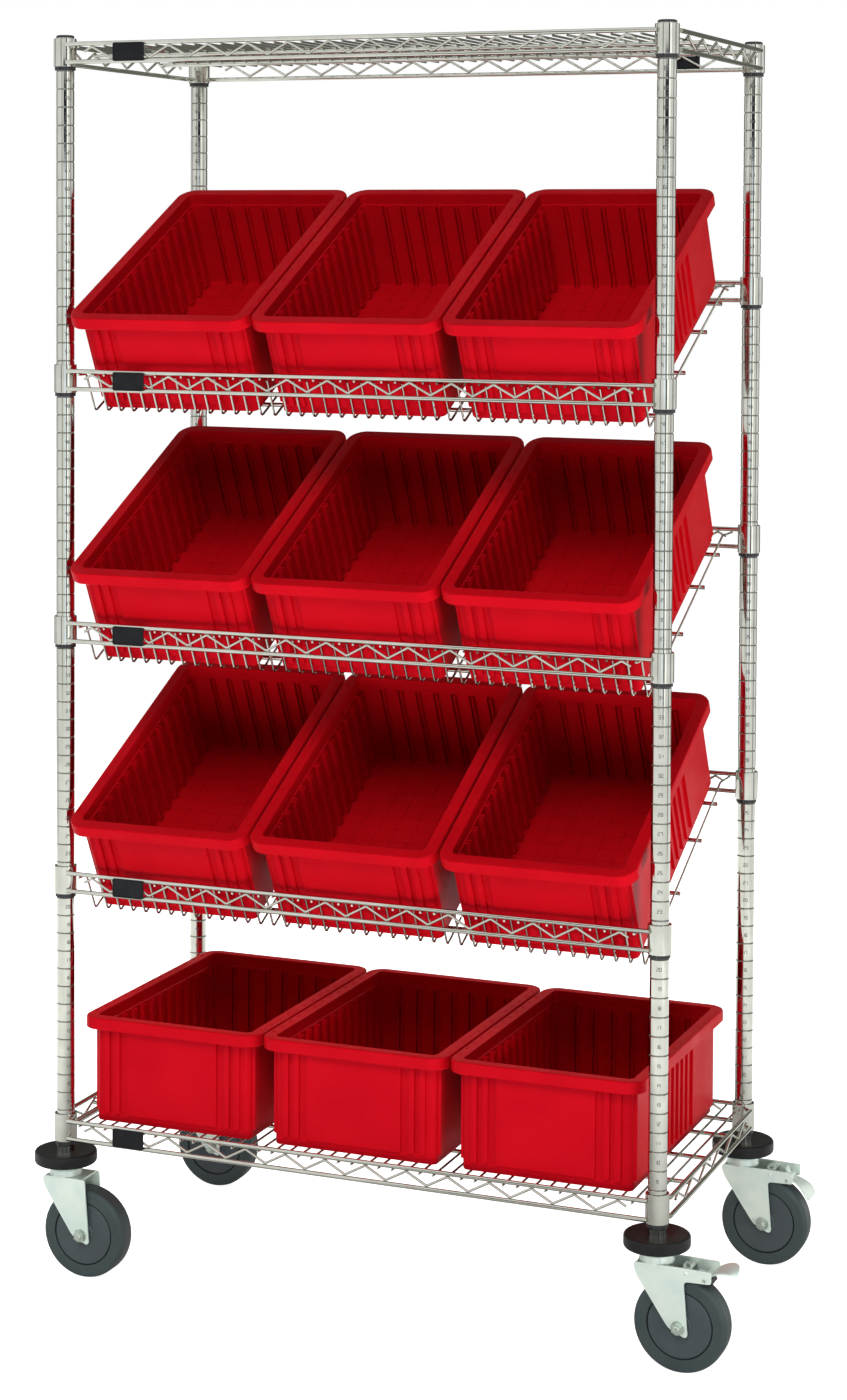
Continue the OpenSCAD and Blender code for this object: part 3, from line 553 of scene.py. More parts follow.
def label_plate(bm, centre, outward):
    """A plate with its back at centre, facing outward along Y."""
    part = bmesh.new()
    front = rounded_face(part, PLATE_W, PLATE_H, PLATE_R)
    grown = bmesh.ops.extrude_face_region(part, geom=[front])["geom"]
    front = next(g for g in grown if isinstance(g, bmesh.types.BMFace))
    bmesh.ops.translate(part, verts=front.verts, vec=Vector((0, 0, PLATE_T - PLATE_EDGE)))
    for thickness, depth in ((PLATE_EDGE, PLATE_EDGE), (PLATE_FRAME - PLATE_EDGE, 0),
                             (PLATE_RECESS / 2, -PLATE_RECESS)):
        bmesh.ops.inset_region(part, faces=[front], use_even_offset=True, thickness=thickness, depth=depth)
    facing = Matrix.Rotation(math.pi / 2 if outward < 0 else -math.pi / 2, 4, "X")
    drop_into(bm, part, Matrix.Translation(centre) @ facing)


bm = bmesh.new()
truss_front = ROD_OUT + ROD_D / 2
for z in collar_heights("front_left"):
    middle = z + COLLAR_H - ROD_DROP - ROD_GAP / 2
    label_plate(bm, Vector((LEFT + PLATE_SET + PLATE_W / 2, FRONT - truss_front, middle)), -1)
middle = TOP_COLLAR_Z + COLLAR_H - ROD_DROP - ROD_GAP / 2
label_plate(bm, Vector((RIGHT - PLATE_SET - PLATE_W / 2, REAR + truss_front, middle)), 1)
plate_black = finish("plate_black", (PLATE_BLACK, BLACK), rough=(0.38, 0.50), patch=60, grain=900,
                     relief=0.03 * mm, specular=0.18)
piece("label_holders", bm, plate_black, "frame", "black_plastic", "label_plates")


# Bins
# Injection-moulded red boxes with a hanging rim, panels and fins outside, and pairs of ribs inside
# that hold dividers. They stand loose on the decks and lift out.
BIN_WALL = 2.6 * mm
BIN_FLOOR = 3.0 * mm
RIM_OVER = 13.0 * mm
RIM_H = 17.0 * mm
BASE_EDGE = ((3.0, 0.0), (1.0, 0.6), (0.0, 2.5))
SKIRT_EDGE = ((2.6, 0.6), (2.08, 0.0), (0.8, 0.0), (0.0, 0.8))
RIM_EDGE = ((0.0, 3.0), (0.9, 0.9), (3.0, 0.0))
MOUTH_EDGE = ((-2.0, 0.0), (-0.6, 0.5), (0.0, 2.0))
FLOOR_EDGE = ((0.0, 5.0), (1.5, 1.5), (5.0, 0.0))
FIN_DEPTH = 4.0 * mm
FIN_W = 8.0 * mm
FIN_BASE = 13.0 * mm
FIN_TOP = 4.0 * mm
FIN_EDGE = 0.8 * mm
FIN_PLACES = (2, 4)
PANEL_SHARE = 0.56
END_SHARE = 0.27
FIN_STEPS = 6
BAND_STEP = 1.5 * mm
BAND_FOOT = (1.0 * mm, 0.5 * mm)
SLOT_PITCH = 28.0 * mm
SLOT_W = 4.0 * mm
RIB_DEPTH = 6.5 * mm
RIB_T = 2.0 * mm
RIB_BASE = 7.0 * mm
RIB_SHORT = 1.0 * mm
RIB_EDGE = 0.5 * mm
FLOOR_LINE_W = 1.4 * mm
FLOOR_LINE_H = 0.9 * mm
FLOOR_LINE_SINK = 1.0 * mm
FLOOR_LINE_END = 6.0 * mm
NOTCH = Vector((2.4, 8.0, 0.6)) * mm
NOTCH_EDGE = 0.25 * mm
BODY_R = 9.0 * mm
RED = (0.58, 0.0036, 0.0095, 1)
RED_DEEP = (0.53, 0.0030, 0.0085, 1)
RED_SHEEN = (0.4, 0.3, 1, 1)
LEVELS = ("bottom", *SLOPED)
PLACES = ("left", "mid", "right")
red_plastic = finish("red_plastic", (RED, RED_DEEP), rough=(0.30, 0.40), patch=14, grain=900,
                     relief=0.08 * mm, specular=0.06, sheen=RED_SHEEN)


def bin_frame(node, lift):
    """Size of a bin over its rim and the matrix of its own axes, with the origin under its middle."""
    along = lift.cross(X_AXIS)
    points = [v.co for v in frame["nodes"][node].data.vertices]
    spans = [(min(p.dot(a) for p in points), max(p.dot(a) for p in points)) for a in (X_AXIS, along, lift)]
    size = Vector([high - low for low, high in spans])
    origin = X_AXIS * sum(spans[0]) / 2 + along * sum(spans[1]) / 2 + lift * spans[2][0]
    axes = Matrix((X_AXIS, along, lift)).transposed().to_4x4()
    return size, Matrix.Translation(origin) @ axes


def block(bm, low, high, edge=0.0):
    """A box between two corners, with its edges eased."""
    size, centre = high - low, (high + low) / 2
    made = bmesh.ops.create_cube(bm, size=1, matrix=Matrix.Translation(centre) @ Matrix.Diagonal((*size, 1)))
    if edge:
        edges = list({e for v in made["verts"] for e in v.link_edges})
        bmesh.ops.bevel(bm, geom=edges, offset=edge, affect="EDGES", segments=2, profile=0.5, material=-1)


def bar(bm, xs, ys, zs, edge=0.0):
    """A block between the ends of three ranges."""
    low, high = (Vector([pick(ends) for ends in (xs, ys, zs)]) for pick in (min, max))
    block(bm, low, high, edge)


def about(middle, width):
    return middle - width / 2, middle + width / 2


def bin_mesh(size):
    """One bin about its own origin: walls and rim lofted from rounded loops, then fins, ribs and lines."""
    w, l, h = size
    under = h - RIM_H
    out = RIM_OVER + FIN_DEPTH
    room = out + BIN_WALL
    band = room - BAND_STEP
    rim_r = BODY_R + out
    stations = [*eased(out, 0, BASE_EDGE, 1, 1), (out, h - BIN_WALL), (BIN_WALL, h - BIN_WALL),
                *eased(0, under, SKIRT_EDGE, 1, 1), *eased(0, h, RIM_EDGE, 1, -1),
                *eased(band, h, MOUTH_EDGE, 1, -1), (band, under + BAND_FOOT[0]),
                (room, under - BAND_FOOT[1]), *eased(room, BIN_FLOOR, FLOOR_EDGE, 1, 1)]
    bm = bmesh.new()
    inset, z = stations[0]
    skin = rounded_face(bm, w - 2 * inset, l - 2 * inset, rim_r - inset, z)
    for next_inset, next_z in stations[1:]:
        bmesh.ops.inset_region(bm, faces=[skin], use_boundary=True, use_even_offset=True,
                               thickness=next_inset - inset, depth=next_z - z)
        inset, z = next_inset, next_z
    bmesh.ops.contextual_create(bm, geom=[e for e in bm.edges if e.is_boundary])
    half_w, half_l = w / 2 - RIM_OVER, l / 2 - RIM_OVER
    sink = FIN_DEPTH + BIN_WALL / 2
    panel = PANEL_SHARE * half_w
    end = END_SHARE * 2 * half_l
    shell_l = half_l - FIN_DEPTH
    mid = shell_l - end - FIN_W
    fin_z = (FIN_BASE, under + FIN_TOP)
    for s in (-1, 1):
        wall = (s * half_l, s * (half_l - sink))
        bar(bm, (-panel, panel), wall, fin_z, FIN_EDGE)
        for t in (-1, 1):
            for k in FIN_PLACES:
                bar(bm, about(t * (panel + k * FIN_W), FIN_W), wall, fin_z, FIN_EDGE)
        wall = (s * half_w, s * (half_w - sink))
        for t in (-1, 1):
            bar(bm, wall, about(t * (shell_l - FIN_W - end / 2), end), fin_z, FIN_EDGE)
        for k in range(1, FIN_STEPS + 1):
            bar(bm, wall, about((2 * k / (FIN_STEPS + 1) - 1) * mid, FIN_W), fin_z, FIN_EDGE)
    room_w, room_l = w / 2 - room, l / 2 - room
    short, long = (math.floor((r - BODY_R) / SLOT_PITCH) for r in (room_w, room_l))
    off = (SLOT_W + RIB_T) / 2
    rib_z = (RIB_BASE, under - RIB_SHORT)
    for s in (-1, 1):
        end_wall, side_wall = ((s * (r + BIN_WALL / 2), s * (r - RIB_DEPTH)) for r in (room_l, room_w))
        for t in (-off, off):
            for k in range(-short, short + 1):
                bar(bm, about(k * SLOT_PITCH + t, RIB_T), end_wall, rib_z, RIB_EDGE)
            for k in range(-long, long + 1):
                bar(bm, side_wall, about(k * SLOT_PITCH + t, RIB_T), rib_z, RIB_EDGE)
        rim_middle = about(s * (w - RIM_OVER) / 2, NOTCH.x)
        for k in range(-long, long + 1):
            bar(bm, rim_middle, about(k * SLOT_PITCH, NOTCH.y), (h - NOTCH.z, h + NOTCH.z), NOTCH_EDGE)
    line_z = (BIN_FLOOR - FLOOR_LINE_SINK, BIN_FLOOR + FLOOR_LINE_H)
    line_w, line_l = room_w - FLOOR_LINE_END, room_l - FLOOR_LINE_END
    for k in range(-short, short + 1):
        bar(bm, about(k * SLOT_PITCH, FLOOR_LINE_W), (-line_l, line_l), line_z)
    for k in range(-long, long + 1):
        bar(bm, (-line_w, line_w), about(k * SLOT_PITCH, FLOOR_LINE_W), line_z)
    bmesh.ops.recalc_face_normals(bm, faces=bm.faces)
    mesh = bpy.data.meshes.new("bin")
    bm.to_mesh(mesh)
    bm.free()
    return mesh


bin_size, _ = bin_frame("bin_bottom_left", UP)
one_bin = bin_mesh(bin_size)
for level in LEVELS:
    for place in PLACES:
        node = "bin_" + level + "_" + place
        _, stand = bin_frame(node, UP if level == "bottom" else LIFT)
        bm = bmesh.new()
        bm.from_mesh(one_bin)
        bmesh.ops.transform(bm, matrix=stand, verts=bm.verts)
        piece("box_" + level + "_" + place, bm, red_plastic, node, "red_plastic", node)
bpy.data.meshes.remove(one_bin)


# Bumpers
# Thick black rubber discs slipped on the lower post ends, so that the cart meets a wall softly.
BUMPER_R = 4.0 * mm
BUMPER_DISH = 1.2 * mm
BUMPER_LAND = 8.0 * mm
RUBBER = (0.0065, 0.0072, 0.0070, 1)
RUBBER_GREY = (0.012, 0.013, 0.0125, 1)
rubber = finish("bumper_rubber", (RUBBER, RUBBER_GREY), rough=(0.30, 0.44), patch=45, grain=700,
                relief=0.08 * mm, specular=0.25)
bumper_low, bumper_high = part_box("bumpers")
BUMPER_D = 2 * (LEFT - bumper_low.x)


def round_corner(r, h, radius, quarter, steps=5):
    """Points of a quarter circle about (r, h); quarter 0 runs from outward to up, and so on round."""
    turn = [(quarter + k / steps) * math.pi / 2 for k in range(steps + 1)]
    return [(r + radius * math.cos(a), h + radius * math.sin(a)) for a in turn]


bm = bmesh.new()
for corner in CORNERS:
    edge = BUMPER_D / 2 - BUMPER_R
    low, high = bumper_low.z, bumper_high.z
    under = round_corner(edge, low + BUMPER_R, BUMPER_R, 3)
    over = round_corner(edge, high - BUMPER_R, BUMPER_R, 0)
    turned(bm, [(POST_R, low), *under, *over, (POST_R + BUMPER_LAND, high - BUMPER_DISH),
                (POST_R, high - BUMPER_DISH), (POST_R, low)], post_point(corner), steps=64)
piece("bumper_discs", bm, rubber, "frame", "bumper_rubber", "bumpers")


# Caster stems
# A zinc-plated stem stands in each post; below it the raceway flange and the kingpin carry the fork.
STEM_IN = 55.0 * mm
RACE_D = 46.0 * mm
RACE_EDGE = 2.0 * mm
RACE_STEPS = 48
KING_HEAD_R = 10.0 * mm
KING_R = 6.0 * mm
CHAMFER = 1.0 * mm
ZINC = (0.82, 0.92, 0.83, 1)
ZINC_BLUE = (0.70, 0.84, 0.77, 1)
zinc = finish("zinc_plate", (ZINC, ZINC_BLUE), rough=(0.30, 0.42), patch=30, grain=260,
              relief=0.02 * mm, metallic=0.4)
STEM_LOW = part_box("caster_stems")[0].z
POST_BASE = post_box["front_left"][0].z
RACE_H = 6.6 * mm
RACE_LOW = POST_BASE - RACE_H
KING_HEAD_H = 4.0 * mm

bm = bmesh.new()
for corner in CORNERS:
    head = STEM_LOW + KING_HEAD_H
    turned(bm, [(0, STEM_LOW), (KING_HEAD_R - CHAMFER, STEM_LOW), (KING_HEAD_R, STEM_LOW + CHAMFER),
                (KING_HEAD_R, head), (KING_R, head), (KING_R, RACE_LOW), (RACE_D / 2 - RACE_EDGE, RACE_LOW),
                (RACE_D / 2, RACE_LOW + RACE_EDGE), (RACE_D / 2, POST_BASE - CHAMFER),
                (RACE_D / 2 - CHAMFER, POST_BASE), (POST_R - POST_WALL, POST_BASE),
                (POST_R - POST_WALL, POST_BASE + STEM_IN), (0, POST_BASE + STEM_IN)],
           post_point(corner), steps=RACE_STEPS)
piece("stem_flanges", bm, zinc, "frame", "zinc", "caster_stems")


# Forks
# Pressed from zinc-plated sheet: two legs with rounded ends, a crown and a raised swivel race.
# The forks on the right have an arm at the back that carries the brake.
CASTERS = {"fl": "front_left", "fr": "front_right", "rr": "rear_right", "rl": "rear_left"}
BRAKED = ("fr", "rr")
FORK_T = 3.0 * mm
FORK_EDGE = 0.8 * mm
CROWN_DROP = 15.0 * mm
FORK_FRONT = -25.0 * mm
FORK_BACK = 42.0 * mm
CROWN_BACK = 20.0 * mm
BRIDGE = (38.0 * mm, 50.0 * mm)
BRIDGE_DROP = 6.0 * mm
BRIDGE_GAP = 6.0 * mm
BRIDGE_LAP = 1.0 * mm
RIVET_AT = (4.0 * mm, 6.0 * mm)
RIVET_HEAD = ((0.0, 0.9), (1.82, 0.7), (2.6, 0.0), (0.0, 0.0))
FORK_NOSE = 12.0 * mm
FORK_END_R = 14.0 * mm
FORK_HEEL = (-0.98, -0.15)
FORK_TOE = (0.95, -1.05)
FORK_ROUNDS = (6.0 * mm, 20.0 * mm, 12.0 * mm, 8.0 * mm)
BACK_ROUND = 5.0 * mm
ARM_UNDER = 4.5 * mm
ARM_PAST = 9.0 * mm
ARM_STEP = 1.0 * mm
ARM_ROUNDS = (7.0 * mm, 4.0 * mm, 3.0 * mm, 0.5 * mm)
CROWN_SINK = 0.3 * mm
CROWN_EDGE = 0.6 * mm
FORK_RACE_DROP = 7.0 * mm
RACE_FOOT = ((-1.0, -1.5), (0.0, 1.5), (1.0, 3.0))
RACE_HEAD = ((1.5, 1.0), (2.5, 0.0))
SHARP_ANGLE = 1.2
axle_point = {c: Vector(joints["roll_" + c]["pos_m"]) for c in CASTERS}
pivot_point = {c: Vector(joints["brake_pedal_" + c]["pos_m"]) for c in BRAKED}
TRAIL = axle_point["fl"].x - LEFT
WHEEL_R = axle_point["fl"].z
PIVOT_X = pivot_point["fr"].x - RIGHT
PIVOT_Z = pivot_point["fr"].z
CROWN_Z = POST_BASE - CROWN_DROP
LEG_OUT = (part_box("fork_fl")[1].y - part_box("fork_fl")[0].y) / 2


def fork_outline(braked):
    """Corners of a leg seen from the side, as (x, z, rounding)."""
    heel, toe = ((TRAIL + a * FORK_END_R, WHEEL_R + b * FORK_END_R) for a, b in (FORK_HEEL, FORK_TOE))
    corners = [(FORK_FRONT, CROWN_Z), (FORK_FRONT, CROWN_Z - FORK_NOSE), heel, toe]
    rounds = (*FORK_ROUNDS, BACK_ROUND)
    if braked:
        low, back = PIVOT_Z - ARM_UNDER, PIVOT_X + ARM_PAST
        corners += [(FORK_BACK + ARM_STEP, low - ARM_STEP), (back, low), (back, CROWN_Z - ARM_STEP)]
        rounds = FORK_ROUNDS + ARM_ROUNDS
    corners.append((FORK_BACK, CROWN_Z))
    return [(x, z, r) for (x, z), r in zip(corners, rounds)]


def sheet_part(bm, outline, y_low, y_high, edge):
    """A flat part cut from sheet: corners rounded one by one, then thickened along Y with eased edges."""
    part = bmesh.new()
    face = part.faces.new([part.verts.new((x, y_low, z)) for x, z, _ in outline])
    for vert, (_, _, r) in zip(list(face.verts), outline):
        bmesh.ops.bevel(part, geom=[vert], offset=r, offset_type="WIDTH", affect="VERTICES", segments=5,
                        profile=0.5, material=-1)
    grown = bmesh.ops.extrude_face_region(part, geom=part.faces[:])["geom"]
    bmesh.ops.translate(part, verts=verts_of(grown), vec=Vector((0, y_high - y_low, 0)))
    rims = [e for e in part.edges if len(e.link_faces) == 2 and e.calc_face_angle(0) > SHARP_ANGLE]
    bmesh.ops.bevel(part, geom=rims, offset=edge, affect="EDGES", segments=2, profile=0.5, material=-1)
    drop_into(bm, part)


for c, corner in CASTERS.items():
    braked = c in BRAKED
    bm = bmesh.new()
    for s in (-1, 1):
        y0, y1 = sorted((s * LEG_OUT, s * (LEG_OUT - FORK_T)))
        sheet_part(bm, fork_outline(braked), y0, y1, FORK_EDGE)
    back = CROWN_BACK if braked else FORK_BACK - BACK_ROUND
    bar(bm, (FORK_FRONT + FORK_T, back), about(0, 2 * LEG_OUT - FORK_T),
        (CROWN_Z - FORK_T, CROWN_Z - CROWN_SINK), CROWN_EDGE)
    if braked:
        bridge_z = CROWN_Z - BRIDGE_DROP
        for s in (-1, 1):
            bar(bm, BRIDGE, (s * BRIDGE_GAP, s * (LEG_OUT - FORK_T)), (bridge_z, bridge_z + FORK_T),
                FORK_EDGE)
            rivet = Vector((FORK_BACK + RIVET_AT[0], s * LEG_OUT, PIVOT_Z + RIVET_AT[1]))
            turned(bm, eased(0, 0, RIVET_HEAD, 1, 1), rivet, steps=20, axis=Y_AXIS * s)
        for x in (BRIDGE[0], BRIDGE[1] - FORK_T):
            bar(bm, (x, x + FORK_T), about(0, 2 * (BRIDGE_GAP + BRIDGE_LAP)), (bridge_z, CROWN_Z), FORK_EDGE)
    race_top = POST_BASE - FORK_RACE_DROP
    turned(bm, [(KING_R, CROWN_Z - FORK_T), *eased(RACE_D / 2, CROWN_Z, RACE_FOOT, -1, 1),
                *eased(RACE_D / 2, race_top, RACE_HEAD, -1, -1), (KING_R, race_top),
                (KING_R, CROWN_Z - FORK_T)], Vector(), steps=RACE_STEPS)
    bmesh.ops.translate(bm, verts=bm.verts, vec=post_point(corner))
    piece("fork_plates_" + c, bm, zinc, "caster_" + c, "zinc", "fork_" + c)


# Wheel bolts
# A zinc-plated bolt goes through each fork, with a washer and a nut on both sides. The braked forks
# carry the pedal pin too.
BOLT_D = 10.0 * mm
NUT_W = 16.0 * mm
NUT_H = 6.0 * mm
WASHER_D = 19.0 * mm
WASHER_T = 1.5 * mm
BOLT_END = 3.0 * mm
WASHER_EDGE = ((0.0, 0.45), (0.5, 0.0))
NUT_EDGE = 0.7 * mm
PIN_D = 5.0 * mm
PIN_OUT = 1.0 * mm
PIN_EDGE = ((0.5, 0.0), (0.0, 0.5))
STEEL = (0.70, 0.79, 0.71, 1)
STEEL_DARK = (0.46, 0.54, 0.48, 1)
steel = finish("zinc_fastener", (STEEL, STEEL_DARK), rough=(0.20, 0.34), patch=90, grain=500,
               relief=0.05 * mm, metallic=0.8)

for c in CASTERS:
    bm = bmesh.new()
    centre = axle_point[c]
    for s in (-1, 1):
        out = Y_AXIS * s
        face = centre + out * LEG_OUT
        turned(bm, [(0, 0), (WASHER_D / 2, 0), *eased(WASHER_D / 2, WASHER_T, WASHER_EDGE, -1, -1),
                    (0, WASHER_T)], face, steps=32, axis=out)
        stand = Matrix.Translation(face + out * (WASHER_T + NUT_H / 2)) @ Matrix.Rotation(math.pi / 2, 4, "X")
        made = bmesh.ops.create_cone(bm, cap_ends=True, segments=6, radius1=NUT_W / 2, radius2=NUT_W / 2,
                                     depth=NUT_H, matrix=stand)
        edges = list({e for v in made["verts"] for e in v.link_edges})
        bmesh.ops.bevel(bm, geom=edges, offset=NUT_EDGE, affect="EDGES", segments=2, profile=0.5, material=-1)
    tip = WASHER_T + NUT_H + BOLT_END
    length = 2 * LEG_OUT + tip + WASHER_T
    turned(bm, [(0, 0), (BOLT_D / 2 - CHAMFER, 0), (BOLT_D / 2, CHAMFER), (BOLT_D / 2, length), (0, length)],
           centre - Y_AXIS * (LEG_OUT + tip), steps=24, axis=Y_AXIS)
    if c in BRAKED:
        end = LEG_OUT + PIN_OUT
        turned(bm, [(0, -end), *eased(PIN_D / 2, -end, PIN_EDGE, -1, 1),
                    *eased(PIN_D / 2, end, PIN_EDGE[::-1], -1, -1), (0, end)],
               pivot_point[c], steps=20, axis=Y_AXIS)
    piece("wheel_bolt_" + c, bm, steel, "caster_" + c, "steel", "axle_" + c)


# Wheels
# A grey moulded hub disc with a thin groove round it, and a soft grey tyre bonded on its rim.
HUB_R = 45.0 * mm
HUB_BOSS_R = 15.0 * mm
HUB_BOSS_OUT = 1.0 * mm
HUB_BOSS_EDGE = ((1.0, 0.0), (0.0, 1.0))
HUB_SINK = 1.0 * mm
HUB_EDGE = ((0.6, 0.0), (0.0, 0.6))
GROOVE_SINK = 3.0 * mm
HUB_GROOVE = 1.6 * mm
RING_REACH = 0.1 * mm
WHEEL_STEPS = 96
TYRE_ROUND = 7.0 * mm
WHEEL_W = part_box("tyre_fl")[1].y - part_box("tyre_fl")[0].y
HUB_GREY = (0.060, 0.076, 0.082, 1)
HUB_SHADE = (0.051, 0.065, 0.071, 1)
HUB_GROOVE_SHADE = (0.004, 0.004, 0.005, 1)
TYRE_GREY = (0.041, 0.060, 0.060, 1)
TYRE_SHADE = (0.034, 0.049, 0.050, 1)
hub_plastic = finish("hub_plastic", (HUB_GREY, HUB_SHADE), rough=(0.36, 0.48), patch=25, grain=900,
                     relief=0.08 * mm, specular=0.35)
hub_ring = finish("hub_ring", (HUB_GROOVE_SHADE, HUB_GROOVE_SHADE), rough=(0.5, 0.6), patch=25, grain=900, relief=0.02 * mm)
tyre_rubber = finish("tyre_rubber", (TYRE_GREY, TYRE_SHADE), rough=(0.42, 0.58), patch=22, grain=600,
                     relief=0.1 * mm)


def mirrored(profile):
    return profile + [(r, -h) for r, h in reversed(profile)]


for c in CASTERS:
    side = WHEEL_W / 2
    boss = side + HUB_BOSS_OUT
    disc = side - HUB_SINK
    floor = side - GROOVE_SINK
    ring = HUB_R - HUB_GROOVE
    half = [(0, boss), *eased(HUB_BOSS_R, boss, HUB_BOSS_EDGE, -1, -1), (HUB_BOSS_R + CHAMFER, disc),
            *eased(ring, disc, HUB_EDGE, -1, -1), (ring, floor), (HUB_R, floor)]
    bm = bmesh.new()
    turned(bm, mirrored(half), axle_point[c], steps=WHEEL_STEPS, axis=Y_AXIS)
    # The faces of the hub's groove take a near-black colour: painted shade in the groove.
    for face in bm.faces:
        from_axle = face.calc_center_median() - axle_point[c]
        if Vector((from_axle.x, from_axle.z)).length > ring - RING_REACH:
            face.material_index = 1
    disc_piece = piece("hub_disc_" + c, bm, hub_plastic, "wheel_" + c, "hub_grey", "hub_" + c)
    disc_piece.data.materials.append(hub_ring)
    near = round_corner(WHEEL_R - TYRE_ROUND, side - TYRE_ROUND, TYRE_ROUND, 0, steps=7)
    half = [(HUB_R, floor), *eased(HUB_R, side, HUB_EDGE[::-1], 1, -1), *near[::-1]]
    bm = bmesh.new()
    turned(bm, mirrored(half) + [(HUB_R, floor)], axle_point[c], steps=WHEEL_STEPS, axis=Y_AXIS)
    piece("tyre_band_" + c, bm, tyre_rubber, "wheel_" + c, "tyre_grey", "tyre_" + c)


# Brakes
# A zinc rocker turns on a pin between the fork's arms: the pedal at its back is stepped on to press a
# rubber shoe on the tyre, and the tab in front of the pin frees it again.
PEDAL_W = 29.0 * mm
PEDAL_T = 2.4 * mm
PEDAL_REACH = 42.0 * mm
PEDAL_NECK = 20.0 * mm
PEDAL_ARCH = 4.8 * mm
PEDAL_TWIST = math.tan(math.radians(18))
PEDAL_TIP = 0.75
PEDAL_NARROWING = 0.35
PEDAL_BOW = 0.06
BARREL_R = 4.5 * mm
TAB_REACH = 15.0 * mm
TAB_LEAN = math.radians(150)
TAB_EDGE = 0.6 * mm
PEDAL_UP = math.radians(18)
PEDAL_SWING = math.radians(55)
SHOE_LAG = math.radians(80)
SHOE_W = 24.0 * mm
SHOE_T = 8.0 * mm
SHOE_R = 10.8 * mm
SHOE_EDGE = 0.7 * mm

for c in BRAKED:
    angle = PEDAL_UP if c == "fr" else PEDAL_UP - PEDAL_SWING
    stand = Matrix.Translation(pivot_point[c])
    part = bmesh.new()
    bmesh.ops.create_grid(part, x_segments=10, y_segments=4, size=0.5)
    for v in part.verts:
        share = v.co.x + 0.5
        off = abs(2 * v.co.y)
        y = v.co.y * (PEDAL_NECK + (PEDAL_W - PEDAL_NECK) * share)
        tip = max(0.0, (share - PEDAL_TIP) / (1 - PEDAL_TIP))
        v.co = Vector((PEDAL_REACH * share * (1 - PEDAL_BOW * off ** 3 * share),
                       y * (1 - PEDAL_NARROWING * (tip * off) ** 2),
                       PEDAL_ARCH * 4 * share * (1 - share) + PEDAL_TWIST * y * share))
    bmesh.ops.solidify(part, geom=part.faces[:], thickness=PEDAL_T)
    low, high = about(0, PEDAL_W)
    turned(part, [(PIN_D / 2, low), (BARREL_R, low), (BARREL_R, high), (PIN_D / 2, high), (PIN_D / 2, low)],
           Vector(), steps=24, axis=Y_AXIS)
    tab = bmesh.new()
    bar(tab, (0, TAB_REACH), about(0, PEDAL_W / 2), about(0, PEDAL_T), TAB_EDGE)
    drop_into(part, tab, Matrix.Rotation(-TAB_LEAN, 4, "Y"))
    bm = bmesh.new()
    drop_into(bm, part, stand @ Matrix.Rotation(-angle, 4, "Y"))
    piece("brake_rocker_" + c, bm, zinc, "brake_" + c, "zinc", "pedal_" + c)
    part = bmesh.new()
    bar(part, (BARREL_R, SHOE_R), about(0, SHOE_W), about(0, SHOE_T), SHOE_EDGE)
    bm = bmesh.new()
    drop_into(bm, part, stand @ Matrix.Rotation(-angle + SHOE_LAG, 4, "Y"))
    piece("brake_block_" + c, bm, rubber, "brake_" + c, "black_plastic", "shoe_" + c)


# Studio
# A pale floor, which metal sees grey and darker still near the cart (painted shade in its reflections),
# soft lamps in front (low and high), on the right, behind and on the left, soft fill from all round, and
# screens that only show as streaks in the chrome.
FLOOR_SIZE = 60.0
FLOOR_WHITE = (0.86, 0.86, 0.86, 1)
FLOOR_ROUGH = 0.9
FLOOR_GLOSS = 0.1
FLOOR_LIFT = 0.92
FLOOR_NEAR = 0.7
FLOOR_FAR = 1.5
# Painted shade for the floor as metal sees it: a grey colour, and a low glow near the cart.
NEAR_FLOOR_SHADE_LIFT = 0.20
FLOOR_IN_METAL_SHADE = (0.40, 0.41, 0.39, 1)
FILL = 0.15
LAMPS = (("front", Vector((-0.4, -1.9, 0.16)), Vector((0.1, 0.57, 0.82)), (3.2, 0.5), 23.0),
         ("side", Vector((2.6, -0.9, 0.16)), Vector((-0.57, 0.1, 0.82)), (1.6, 0.5), 58.0),
         ("top", Vector((0.6, -3.3, 3.3)), Vector((-0.6, 3.1, -2.3)), (1.6, 1.6), 84.0),
         ("back", Vector((-0.3, 3.4, 2.2)), Vector((0.3, -3.2, -1.3)), (2.4, 1.6), 80.0),
         ("left", Vector((-2.9, 0.9, 1.5)), Vector((2.6, -0.9, -0.6)), (1.6, 1.6), 45.0))
NAVY = (0.010, 0.012, 0.022)
OLIVE = (0.16, 0.16, 0.14)
VIOLET = (0.40, 0.37, 0.42)
STRIP_WHITE = (1.8, 1.8, 1.8)
STRIP_BLUE = (1.20, 1.35, 1.55)
CEILING = (0.26, 0.26, 0.24)
SCREENS = ((21, 5.5, 3.4, 1.75, 2.04, NAVY), (20, 5.5, 1.2, 0.0, 1.75, STRIP_BLUE),
           (53, 5.5, 1.3, 0.0, 4.0, STRIP_WHITE), (38, 5.5, 0.9, 0.0, 4.0, NAVY),
           (-17, 5.5, 0.7, 0.0, 4.0, OLIVE), (100, 3.4, 0.8, 0.0, 4.0, VIOLET),
           (-84, 3.4, 0.8, 0.0, 4.0, VIOLET), (197, 3.0, 7.5, 0.0, 4.0, OLIVE))
CEILING_AT = Vector((0, 2.6, 3.6))
CEILING_SIZE = (8.0, 4.0)
CAMERA_AT = Vector((1.46763, -3.68047, 1.46991))
CAMERA_YAW = 0.38261
CAMERA_PITCH = 0.04307
CAMERA_ROLL = 0.00487
FOCAL_PX = 2800.5
LONG_SIDE_PX = 1400
SENSOR = 36.0
SHIFT_Y = -0.24

